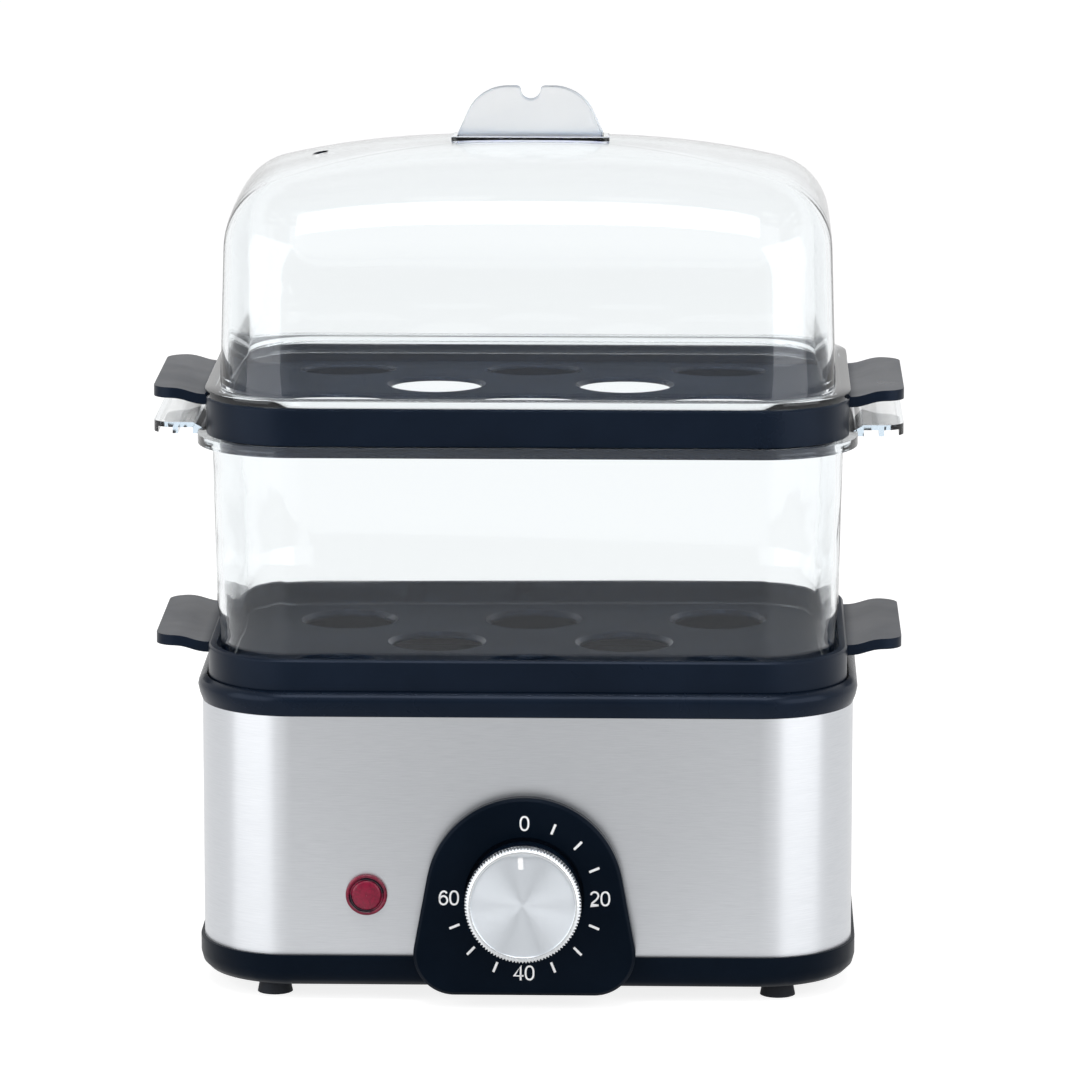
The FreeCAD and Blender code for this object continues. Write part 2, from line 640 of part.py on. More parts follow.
def make_feet():
    """Four tapered rubber feet under the base pan."""
    body = new_body("RubberFeet")
    sketch = new_sketch(body, "Foot")
    for x, y in mirrored(foot_x, foot_y):
        circle(sketch, foot_radius, x, y)
    grow = Size(-math.degrees(math.atan(foot_taper.value / foot_height.value)),
                f"(-1 * atan({foot_taper.text} / {foot_height.text}))")
    pad(body, sketch, foot_height, taper=grow)
    return finish(body, "rubber_feet")


def make_case_screws():
    """Two screws from below, through the base pan into the collar's posts."""
    body = new_body("CaseScrews")
    heads = new_sketch(body, "Heads", height=foot_height)
    shanks = new_sketch(body, "Shanks", height=foot_height)
    for side in (-1, 1):
        hexagon(heads, screw_head_width, post_x * side, ZERO)
        circle(shanks, screw_radius, post_x * side)
    pad(body, heads, screw_head_height, reverse=True)
    pad(body, shanks, base_floor + screw_grip)
    return finish(body, "case_screws")


def hexagon(sketch, across_flats, x, y):
    corner = across_flats / (2 * math.cos(math.pi / 6))
    polygon(sketch, arc_points(x, y, corner, 0, 360, 6)[:-1])


def make_water_pan():
    """Coated pan that holds the water: flange, bevelled dish, welded tabs below."""
    body = new_body("WaterPan")
    wall_out, wall_in = -pan_inset, -pan_inset - pan_sheet
    floor_in = wall_out - pan_bevel * 2
    thinning = pan_sheet * (2 ** 0.5 - 1)
    sweep_round_rim(body, "Dish", [
        (-mouth_inset - nest_gap, pan_flange_bottom), (-mouth_inset - nest_gap, pan_flange_top),
        (wall_in, pan_flange_top), (wall_in, pan_bottom + pan_bevel + thinning),
        (wall_out - pan_bevel - thinning, pan_bottom + pan_sheet), (floor_in, pan_bottom + pan_sheet),
        (floor_in, pan_bottom), (wall_out - pan_bevel, pan_bottom), (wall_out, pan_bottom + pan_bevel),
        (wall_out, pan_flange_bottom)])
    plate(body, "Floor", pan_bottom, pan_sheet, floor_in + pan_bevel / 2)
    tabs = new_sketch(body, "Tabs", height=pan_flange_bottom + pan_sheet / 2)
    tab_holes(tabs, ZERO)
    pad(body, tabs, tab_reach + seal_sheet + pan_sheet / 2, reverse=True)
    return finish(body, "water_pan")


def make_pan_seal():
    """Flat silicone ring between the pan's flange and the collar's shelf."""
    body = new_body("PanSeal")
    plate(body, "Ring", shelf_top, seal_sheet, -mouth_inset - nest_gap)
    cut_plate(body, "Inside", pan_flange_bottom, seal_sheet, -shelf_reach + nest_gap)
    slots = new_sketch(body, "TabSlots", height=pan_flange_bottom)
    tab_holes(slots, bearing_gap)
    pocket(body, slots)
    return finish(body, "pan_seal")


def make_pan_clips():
    """Four spring plates pushed up the pan's tabs, against the shelf."""
    body = new_body("PanClips")
    sketch = new_sketch(body, "Clips", height=shelf_bottom)
    half = clip_plate / 2
    for x, y in mirrored(tab_x, tab_y):
        polygon(sketch, box_corners(x - half / 2, x + half / 2, y - half, y + half))
    tab_holes(sketch, bearing_gap)
    pad(body, sketch, clip_sheet, reverse=True)
    return finish(body, "pan_clips")


def make_heater():
    """Horseshoe heater, flat against the pan, with ceramic beads and blade terminals."""
    body = new_body("HeaterBar")
    top, low = pan_bottom, pan_bottom - heater_height
    bend, half_leg = heater_bend.value, heater_leg.value / 2
    path = new_sketch(body, "Path", height=top)
    arc = Part.ArcOfCircle(Part.Circle(Vector(-half_leg, 0, 0), Vector(0, 0, 1), bend),
                           math.pi / 2, 3 * math.pi / 2)
    path.addGeometry([
        Part.LineSegment(Vector(half_leg, bend, 0), Vector(-half_leg, bend, 0)), arc,
        Part.LineSegment(Vector(-half_leg, -bend, 0), Vector(half_leg, -bend, 0))], False)
    path.addConstraint(Sketcher.Constraint("Tangent", 0, 2, 1, 1))
    path.addConstraint(Sketcher.Constraint("Tangent", 1, 2, 2, 1))
    path.addConstraint(Sketcher.Constraint("Horizontal", 0))
    path.addConstraint(Sketcher.Constraint("Vertical", 0, 1, 2, 2))
    dimension(path, "DistanceX", (-1, 1, 0, 1), heater_leg / 2)
    dimension(path, "DistanceX", (-1, 1, 1, 3), -heater_leg / 2)
    dimension(path, "DistanceY", (-1, 1, 1, 3), ZERO)
    dimension(path, "Radius", (1,), heater_bend)
    section = new_sketch(body, "Section", "YZ_Plane", height=heater_leg / 2)
    inner, outer = heater_bend - heater_width / 2, heater_bend + heater_width / 2
    polygon(section, [(inner, top), (inner, low + heater_bevel), (inner + heater_bevel, low),
                      (outer - heater_bevel, low), (outer, low + heater_bevel), (outer, top)])
    doc.recompute()
    bar = body.newObject("PartDesign::AdditivePipe", "Bar")
    bar.Profile = section
    bar.Spine = (path, [])
    doc.recompute()
    axis = pan_bottom - heater_height / 2
    beads = new_sketch(body, "Beads", "YZ_Plane", height=heater_leg / 2)
    blades = new_sketch(body, "Blades", "YZ_Plane", height=heater_leg / 2 + heater_bead_length)
    for side in (-1, 1):
        y = heater_bend * side
        circle(beads, heater_bead_radius, y, axis)
        polygon(blades, box_corners(y - heater_bead_radius, y + heater_bead_radius,
                                    axis - heater_blade / 2, axis + heater_blade / 2))
    pad(body, beads, heater_bead_length)
    pad(body, blades, heater_blade_length)
    return finish(body, "heater_bar")


def make_heater_clamp():
    """Pressed strap across both legs of the heater, welded to the pan at its ends."""
    body = new_body("HeaterClamp")
    top = pan_bottom - heater_height
    inner = heater_bend + heater_width / 2
    outer = inner + clamp_sheet
    foot = outer + clamp_width / 2
    sketch = new_sketch(body, "Strap", "YZ_Plane", height=heater_leg / 4)
    half = [(ZERO, top - clamp_sheet), (outer, top - clamp_sheet), (outer, pan_bottom - clamp_sheet),
            (foot, pan_bottom - clamp_sheet), (foot, pan_bottom), (inner, pan_bottom),
            (inner, top), (ZERO, top)]
    polygon(sketch, half[1:-1] + [(-y, z) for y, z in half[-2:0:-1]])
    pad(body, sketch, clamp_width, both=True)
    return finish(body, "heater_clamp")


def make_thermostat():
    """Disc thermostat against the pan's floor, with two blade terminals."""
    body = new_body("Thermostat")
    cap = thermostat_height / 3
    low = pan_bottom - thermostat_height
    waist = thermostat_radius - cap / 2
    revolve(body, "Disc", [
        (ZERO, low), (waist, low), (waist, pan_bottom - cap), (thermostat_radius, pan_bottom - cap),
        (thermostat_radius, pan_bottom), (ZERO, pan_bottom)])
    blades = new_sketch(body, "Blades", height=low)
    for side in (-1, 1):
        x = thermostat_radius * (0.45 * side)
        polygon(blades, box_corners(x - heater_blade / 2, x + heater_blade / 2, -cap, cap))
    pad(body, blades, thermostat_height * 0.8, reverse=True)
    return finish(body, "thermostat", x=-heater_leg / 6)


def make_thermal_fuse():
    """Thermal fuse in its sleeve, against the pan between the heater's legs."""
    body = new_body("ThermalFuse")
    level = pan_bottom - fuse_radius
    sketch = new_sketch(body, "Sleeve", "XZ_Plane")
    circle(sketch, fuse_radius, ZERO, level)
    pad(body, sketch, fuse_length, both=True)
    leads = new_sketch(body, "Leads", "XZ_Plane")
    half = heater_blade / 2
    polygon(leads, box_corners(-half, half, level - half, level + half))
    pad(body, leads, fuse_length * 1.8, both=True)
    return finish(body, "thermal_fuse", x=-heater_leg / 2)


# ---------------------------------------------------------------- timer

def tombstone(sketch, inset):
    """The bezel's outline: arch, spreading sides, rounded lower corners, moved inwards."""
    arch, corner = bezel_arch - inset, bezel_corner - inset
    a, c = arch.value, corner.value
    flare = math.radians(bezel_flare.value)
    low = -bezel_drop.value + inset.value
    corner_y = low + c
    corner_x = (a - c - corner_y * math.sin(flare)) / math.cos(flare)
    tip = Vector(math.cos(flare), math.sin(flare), 0)
    right_top = tip * a
    right_low = Vector(corner_x, corner_y, 0) + tip * c
    z = Vector(0, 0, 1)
    left_top = Vector(-right_top.x, right_top.y, 0)
    left_low = Vector(-right_low.x, right_low.y, 0)
    sketch.addGeometry([
        Part.ArcOfCircle(Part.Circle(Vector(0, 0, 0), z, a), flare, math.pi - flare),
        Part.LineSegment(left_top, left_low),
        Part.ArcOfCircle(Part.Circle(Vector(-corner_x, corner_y, 0), z, c),
                         math.pi - flare, 3 * math.pi / 2),
        Part.LineSegment(Vector(-corner_x, low, 0), Vector(corner_x, low, 0)),
        Part.ArcOfCircle(Part.Circle(Vector(corner_x, corner_y, 0), z, c),
                         -math.pi / 2, flare),
        Part.LineSegment(right_low, right_top)], False)
    for i in range(6):
        sketch.addConstraint(Sketcher.Constraint("Tangent", i, 2, (i + 1) % 6, 1))
    sketch.addConstraint(Sketcher.Constraint("Coincident", 0, 3, -1, 1))
    sketch.addConstraint(Sketcher.Constraint("Horizontal", 3))
    sketch.addConstraint(Sketcher.Constraint("Equal", 2, 4))
    sketch.addConstraint(Sketcher.Constraint("Horizontal", 1, 1, 5, 2))
    dimension(sketch, "Radius", (0,), arch)
    dimension(sketch, "Radius", (2,), corner)
    dimension(sketch, "DistanceY", (-1, 1, 3, 1), inset - bezel_drop)
    dimension(sketch, "DistanceY", (-1, 1, 0, 1), sine(bezel_flare) * arch)


DIAL = dict(y=-sleeve_half_depth - bezel_depth, z=dial_level, turn=90.0,
            turn_formula=as_size(90) - dial_tilt)


def behind_face(forward, level):
    """A point before the sleeve's front, at a level: up the bezel's face, and out from it."""
    back, up = bezel_depth - forward, level - dial_level
    return (back * sine(dial_tilt) + up * cosine(dial_tilt),
            up * sine(dial_tilt) - back * cosine(dial_tilt))


def make_bezel():
    """Wedge-shaped moulding round the dial: hollow behind, with a well for the knob."""
    body = new_body("TimerBezel")
    reach = bezel_depth * 2
    face = new_sketch(body, "Face")
    tombstone(face, ZERO)
    pad(body, face, reach, reverse=True)
    high, low = dial_level + bezel_arch * 1.2, dial_level - bezel_drop * 1.2
    step = sleeve_bottom + fit_gap
    over_skirt = trim_proud + fit_gap
    back = new_sketch(body, "BackPlane", "YZ_Plane")
    polygon(back, [behind_face(over_skirt, low), behind_face(-reach * 2, low),
                   behind_face(-reach * 2, high), behind_face(ZERO, high),
                   behind_face(ZERO, step), behind_face(over_skirt, step)])
    pocket(body, back, both=True)
    round_edges(body, "FrontBevel", bezel_bevel, lambda edge: on_level(edge, ZERO),
                "PartDesign::Chamfer")
    shell = new_sketch(body, "Shell", height=-well_depth - well_floor)
    tombstone(shell, bezel_wall)
    pocket(body, shell)
    boss_level = -well_depth - well_floor / 2
    bosses = new_sketch(body, "TimerBosses", height=boss_level)
    boss_length = plate_gap + boss_level - fit_gap
    for side in (-1, 1):
        circle(bosses, timer_screw_radius + bezel_wall, timer_screw_x * side)
    pad(body, bosses, boss_length, reverse=True)
    well = new_sketch(body, "Well")
    circle(well, well_radius)
    pocket(body, well, well_depth)
    holes = new_sketch(body, "Holes", height=-well_depth)
    circle(holes, shaft_radius + nest_gap * 2)
    for side in (-1, 1):
        circle(holes, timer_screw_radius + fit_gap, timer_screw_x * side)
    pocket(body, holes)
    return finish(body, "timer_bezel", **DIAL)


def make_timer():
    """Clockwork movement: front plate with ears, round case, blade terminals."""
    body = new_body("TimerUnit")
    front = new_sketch(body, "Plate", height=-plate_gap)
    rounded_rectangle(front, plate_length / 2, plate_width / 2, plate_sheet * 2)
    pad(body, front, plate_sheet, reverse=True)
    case = new_sketch(body, "Case", height=-plate_gap - plate_sheet / 2)
    circle(case, timer_radius)
    pad(body, case, timer_depth + plate_sheet / 2, reverse=True)
    blades = new_sketch(body, "Blades", "YZ_Plane", height=timer_radius - plate_sheet)
    for side in (-1, 1):
        y = timer_radius * (0.3 * side)
        z = -plate_gap - timer_depth / 2
        polygon(blades, box_corners(y - plate_sheet / 4, y + plate_sheet / 4,
                                    z - plate_sheet * 2, z + plate_sheet * 2))
    pad(body, blades, plate_sheet * 6)
    bore = new_sketch(body, "Bearing", height=-plate_gap)
    circle(bore, shaft_radius + bearing_gap)
    pocket(body, bore, timer_depth * 0.7)
    threads = new_sketch(body, "ScrewHoles", height=-plate_gap)
    for side in (-1, 1):
        circle(threads, timer_screw_radius + bearing_gap, timer_screw_x * side)
    pocket(body, threads, timer_depth * 0.4)
    return finish(body, "timer_unit", **DIAL)


def make_timer_screws():
    """Two screws in the knob's well that hold bezel and timer together through the sleeve."""
    body = new_body("TimerScrews")
    heads = new_sketch(body, "Heads", height=-well_depth)
    shanks = new_sketch(body, "Shanks", height=-well_depth)
    for side in (-1, 1):
        circle(heads, timer_head_radius, timer_screw_x * side)
        circle(shanks, timer_screw_radius, timer_screw_x * side)
    pad(body, heads, timer_head_height)
    pad(body, shanks, plate_gap - well_depth + plate_sheet * 4, reverse=True)
    return finish(body, "timer_screws", **DIAL)


def make_bell():
    """Thin bell on the back of the timer, its mouth towards the clockwork."""
    body = new_body("TimerBell")
    start = -plate_gap - plate_sheet - timer_depth
    top = start - bell_height
    rim = start - bell_sheet
    revolve(body, "Cup", [
        (ZERO, start), (bell_radius / 4, start), (bell_radius / 4, top + bell_sheet),
        (bell_radius - bell_sheet, top + bell_sheet), (bell_radius - bell_sheet, rim),
        (bell_radius, rim), (bell_radius, top + bell_bevel), (bell_radius - bell_bevel, top),
        (ZERO, top)])
    return finish(body, "timer_bell", **DIAL)


def d_section(sketch, radius, flat):
    """A circle with one flat side, for the timer shaft and its hub."""
    reach = radius - flat
    half = math.acos(reach.value / radius.value)
    arc = Part.ArcOfCircle(Part.Circle(Vector(0, 0, 0), Vector(0, 0, 1), radius.value),
                           half, 2 * math.pi - half)
    high = Vector(reach.value, radius.value * math.sin(half), 0)
    low = Vector(high.x, -high.y, 0)
    sketch.addGeometry([arc, Part.LineSegment(low, high)], False)
    sketch.addConstraint(Sketcher.Constraint("Coincident", 0, 3, -1, 1))
    sketch.addConstraint(Sketcher.Constraint("Coincident", 0, 2, 1, 1))
    sketch.addConstraint(Sketcher.Constraint("Coincident", 1, 2, 0, 1))
    sketch.addConstraint(Sketcher.Constraint("Vertical", 1))
    dimension(sketch, "Radius", (0,), radius)
    dimension(sketch, "DistanceX", (-1, 1, 1, 1), reach)


knob_foot = knob_gap - well_depth
knob_shoulder = knob_height - knob_cap_depth


def make_shaft():
    """Steel shaft of the timer: round in its bearing, flat where it carries the knob."""
    body = new_body("TimerShaft")
    foot = -plate_gap - timer_depth / 2
    rod = new_sketch(body, "Rod", height=foot)
    circle(rod, shaft_radius)
    pad(body, rod, knob_foot - foot)
    drive = new_sketch(body, "Drive", height=knob_foot - shaft_flat)
    d_section(drive, shaft_radius, shaft_flat)
    pad(body, drive, shaft_engage + shaft_flat)
    return finish(body, "timer_shaft", **DIAL)


cap_wall = knob_radius - face_radius - fit_gap
plug_radius = knob_radius - cap_wall - fit_gap
cap_inner_top = knob_height - face_recess - cap_wall * 0.8


def make_knob():
    """Black knob: skirt that runs in the bezel's well, D-bored hub, plug for the metal cap."""
    body = new_body("TimerKnob")
    plug_top = cap_inner_top - fit_gap
    ceiling = plug_top - knob_wall
    hollow = knob_skirt_radius - knob_wall
    revolve(body, "Moulding", [
        (ZERO, knob_foot), (hub_radius, knob_foot), (hub_radius, ceiling), (hollow, ceiling),
        (hollow, knob_foot), (knob_skirt_radius, knob_foot), (knob_skirt_radius, knob_shoulder),
        (plug_radius, knob_shoulder), (plug_radius, plug_top), (ZERO, plug_top)])
    bore = new_sketch(body, "Bore", height=knob_foot)
    d_section(bore, shaft_radius + bearing_gap, shaft_flat)
    pocket(body, bore, shaft_engage + fit_gap, reverse=True)
    return finish(body, "timer_knob", **DIAL)


def make_knob_cap():
    """Aluminium cap: knurled rim, chamfered edge, recessed face with a flat at its top."""
    body = new_body("KnobCap")
    blank = new_sketch(body, "Blank", height=knob_shoulder)
    circle(blank, knob_radius)
    pad(body, blank, knob_cap_depth)
    round_edges(body, "RimChamfer", cap_chamfer,
                lambda edge: on_level(edge, knob_height), "PartDesign::Chamfer")
    inside = new_sketch(body, "Inside", height=knob_shoulder)
    circle(inside, knob_radius - cap_wall)
    pocket(body, inside, cap_inner_top - knob_shoulder, reverse=True)
    face = new_sketch(body, "FaceRecess", height=knob_height)
    radius, chord = face_radius.value, face_chord.value
    half = math.acos(chord / radius)
    start, end = math.pi / 2 + half, 2.5 * math.pi - half
    left = Vector(radius * math.cos(start), chord, 0)
    right = Vector(-left.x, chord, 0)
    face.addGeometry([
        Part.ArcOfCircle(Part.Circle(Vector(0, 0, 0), Vector(0, 0, 1), radius), start, end),
        Part.LineSegment(right, left)], False)
    face.addConstraint(Sketcher.Constraint("Coincident", 0, 3, -1, 1))
    face.addConstraint(Sketcher.Constraint("Coincident", 0, 2, 1, 1))
    face.addConstraint(Sketcher.Constraint("Coincident", 1, 2, 0, 1))
    face.addConstraint(Sketcher.Constraint("Horizontal", 1))
    dimension(face, "Radius", (0,), face_radius)
    dimension(face, "DistanceY", (-1, 1, 1, 1), face_chord)
    pocket(body, face, face_recess)
    return finish(body, "knob_cap", **DIAL)


# ---------------------------------------------------------------- lamp, gland, terminals

LAMP = dict(x=-lamp_x, y=-sleeve_half_depth, z=lamp_level, turn=90.0)


def make_lens():
    """Red lens: low dome, rim against the sleeve, hollow barrel through it."""
    body = new_body("LampLens")
    bore = lens_barrel_radius - lens_wall
    revolve(body, "Lens", [
        (ZERO, lens_rim + lens_dome), (lens_radius * 0.5, lens_rim + lens_dome),
        (lens_radius, lens_rim), (lens_radius, ZERO), (lens_barrel_radius, ZERO),
        (lens_barrel_radius, -lens_barrel_length), (bore, -lens_barrel_length),
        (bore, lens_rim / 4), (ZERO, lens_rim / 4)])
    return finish(body, "lamp_lens", **LAMP)


def make_bulb():
    """Neon bulb on its plug, pushed into the barrel of the lens."""
    body = new_body("LampBulb")
    plug = lens_barrel_radius - lens_wall - fit_gap
    rear = -lens_barrel_length - lens_wall
    tip = rear + bulb_length
    revolve(body, "Glass", [
        (ZERO, rear), (plug, rear), (plug, rear + bulb_length / 3), (bulb_radius, rear + bulb_length / 3),
        (bulb_radius, tip - bulb_radius), (bulb_radius * 0.6, tip - bulb_radius * 0.2), (ZERO, tip)])
    return finish(body, "lamp_bulb", **LAMP)


def make_lamp_clip():
    """Push-on clip that holds the lens from behind the sleeve."""
    body = new_body("LampClip")
    front = -sleeve_sheet - fit_gap
    sketch = new_sketch(body, "Ring", height=front)
    circle(sketch, clip_radius)
    circle(sketch, lens_barrel_radius + bearing_gap)
    pad(body, sketch, clip_sheet, reverse=True)
    slots = new_sketch(body, "Slots", height=front)
    for side in (-1, 1):
        inner = lens_barrel_radius * (0.8 * side)
        outer = (lens_barrel_radius + clip_sheet * 1.5) * side
        ends = (outer, inner) if side < 0 else (inner, outer)
        polygon(slots, box_corners(ends[0], ends[1], -clip_sheet, clip_sheet))
    pocket(body, slots)
    return finish(body, "lamp_clip", **LAMP)


def make_gland():
    """Cord gland in the rear of the sleeve: barbed behind the sheet, its throat in the flange."""
    body = new_body("CordGland")
    behind = -sleeve_sheet - fit_gap
    revolve(body, "Gland", [
        (gland_bore, gland_flange_sheet), (gland_flange - gland_barb, gland_flange_sheet),
        (gland_flange, gland_flange_sheet - gland_barb), (gland_flange, ZERO), (gland_barrel, ZERO),
        (gland_barrel, behind), (gland_barrel + gland_barb, behind), (gland_barrel, -gland_length),
        (gland_relief, -gland_length), (gland_relief, ZERO), (gland_bore, ZERO)])
    return finish(body, "cord_gland", x=gland_x, y=sleeve_half_depth, z=gland_level, turn=-90.0)


def make_terminal_block():
    """Three-pole terminal block on the pan's floor."""
    body = new_body("TerminalBlock")
    poles = (-1, 0, 1)
    half = block_pitch * 1.5
    sketch = new_sketch(body, "Block")
    polygon(sketch, box_corners(-half, half, -block_depth / 2, block_depth / 2))
    pad(body, sketch, block_height)
    gaps = new_sketch(body, "Gaps", height=block_height)
    hole = block_wire / 2
    for side in (-1, 1):
        gap_x = block_pitch * (0.5 * side)
        polygon(gaps, box_corners(gap_x - hole / 2, gap_x + hole / 2, -block_depth, block_depth))
    pocket(body, gaps, block_height * 0.7)
    wires = new_sketch(body, "WireHoles", "XZ_Plane")
    screws = new_sketch(body, "ScrewWells", height=block_height)
    for pole in poles:
        x = block_pitch * pole
        polygon(wires, box_corners(x - hole, x + hole, hole, hole * 3))
        for side in (-1, 1):
            y = block_depth * (0.27 * side)
            polygon(screws, box_corners(x - hole, x + hole, y - hole, y + hole))
    pocket(body, wires, both=True)
    pocket(body, screws, block_height * 0.4)
    return finish(body, "terminal_block", x=block_x, y=block_y, z=foot_height + base_floor)


# ---------------------------------------------------------------- egg trays, clear tier, lid

def handle_profile(body, name, side, points):
    """Side view of a handle (outwards, level), padded over the handle's width."""
    sketch = new_sketch(body, name, "XZ_Plane")
    polygon(sketch, [(x * side, z) for x, z in points][::side])
    return pad(body, sketch, handle_width, both=True)


handle_end = rim_half_x(handle_reach)


def make_egg_tray(name, label, seat):
    """Egg tray: rim, perforated floor, nesting skirt, two S-curved handles."""
    body = new_body(name)
    plate(body, "Rim", ZERO, tray_height, ZERO)
    skirt = -mouth_inset - nest_gap
    plate(body, "Nest", -nest_depth, nest_depth * 1.2, skirt)
    cut_plate(body, "Bowl", tray_height, tray_height - tray_floor_level, -tray_wall)
    under = new_sketch(body, "Under", height=-nest_depth)
    hollow = skirt - nest_wall
    rounded_rectangle(under, rim_half_x(hollow), rim_half_y(hollow), rim_radius(hollow))
    pocket(body, under, nest_depth + tray_floor_level - tray_floor_sheet, reverse=True)
    eggs = new_sketch(body, "EggHoles", height=tray_floor_level)
    for row in (-1, 0, 1):
        places = (-0.5, 0.5) if row == 0 else (-1, 0, 1)
        for place_x in places:
            circle(eggs, egg_hole_radius, egg_pitch_x * place_x, egg_pitch_y * row)
    pocket(body, eggs)
    round_edges(body, "EggFlare", egg_hole_flare,
                lambda edge: len(edge.Vertexes) == 1 and on_level(edge, tray_floor_level),
                "PartDesign::Chamfer")
    root_top = tray_height - handle_dip
    outer_top = tray_height + handle_rise
    inside = rim_half_x(-tray_wall / 2)
    bend_in = rim_half_x(handle_root)
    bend_out = handle_end - handle_flat
    for side in (-1, 1):
        handle_profile(body, f"Handle{side + 1}", side, [
            (inside, root_top - handle_sheet), (bend_in, root_top - handle_sheet),
            (bend_out, outer_top - handle_sheet), (handle_end, outer_top - handle_sheet),
            (handle_end, outer_top), (bend_out, outer_top), (bend_in, root_top),
            (inside, root_top)])
    bends = [bend_in.value, bend_out.value]
    round_edges(body, "HandleBends", handle_bend,
                lambda edge: edge.BoundBox.YLength > handle_width.value - 1
                and edge.BoundBox.XLength < 0.01 and edge.BoundBox.ZLength < 0.01
                and min(abs(abs(middle(edge).x) - x) for x in bends) < 0.01)
    round_edges(body, "HandleCorners", handle_corner, upright_at(handle_end, handle_width / 2))
    round_edges(body, "RimEdge", tray_wall / 4, ring_edges(ZERO, tray_height),
                "PartDesign::Chamfer")
    return finish(body, label, z=seat)


tray_seat_lower = lower_seat + lift_gap
tier_seat = tray_seat_lower + tray_floor_level + lift_gap
tier_top = upper_seat - tier_seat


def make_clear_tier():
    """Clear ring between the trays: nesting neck, drafted wall, flange, two handles with channels below."""
    body = new_body("ClearTier")
    flange_bottom = tier_top - flange_height
    sweep_round_rim(body, "Wall", [
        (-tier_neck_inset, ZERO), (-tier_neck_inset, tier_neck_height),
        (-tier_foot_inset, tier_neck_height + tier_shoulder), (-tier_top_inset, flange_bottom),
        (flange_reach, flange_bottom), (flange_reach, tier_top), (-mouth_inset, tier_top),
        (-mouth_inset, flange_bottom),
        (-tier_foot_inset - tier_wall, tier_neck_height + tier_shoulder),
        (-tier_neck_inset - tier_wall, tier_neck_height), (-tier_neck_inset - tier_wall, ZERO)])
    grip_top = tier_top + grip_rise
    grip_bottom = tier_top - grip_drop
    inside = rim_half_x(flange_reach / 2)
    flat_from = rim_half_x(flange_reach + grip_rise)
    for side in (-1, 1):
        handle_profile(body, f"Grip{side + 1}", side, [
            (inside, flange_bottom + flange_height / 2), (inside, tier_top),
            (flat_from, grip_top), (handle_end, grip_top), (handle_end, grip_bottom),
            (rim_half_x(flange_reach), grip_bottom)][::-1])
    round_edges(body, "GripCorners", handle_corner, upright_at(handle_end, handle_width / 2))
    ceiling = grip_top - grip_sheet
    below = grip_bottom - grip_drop
    middle_leg = (flat_from + handle_end - grip_sheet) / 2
    channels = new_sketch(body, "GripChannels", "XZ_Plane")
    for side in (-1, 1):
        for x0, x1 in ((flat_from, middle_leg - grip_rib / 2),
                       (middle_leg + grip_rib / 2, handle_end - grip_sheet)):
            corners = [(x0, below), (x1, below), (x1, ceiling), (x0, ceiling)]
            polygon(channels, [(x * side, z) for x, z in corners][::side])
    pocket(body, channels, both=True)
    return finish(body, "clear_tier", z=tier_seat)


def ring_section(body, name, level, inset_x, inset_y, corner):
    sketch = new_sketch(body, name, height=level)
    rounded_rectangle(sketch, rim_half_x(-inset_x), rim_half_y(-inset_y), corner)
    return sketch


def loft(body, kind, name, sections):
    doc.recompute()
    feature = body.newObject(kind, name)
    feature.Profile = sections[0]
    feature.Sections = sections[1:]
    feature.Ruled = True
    doc.recompute()
    return feature


crown_steps = 4
crown_swell = 1.6


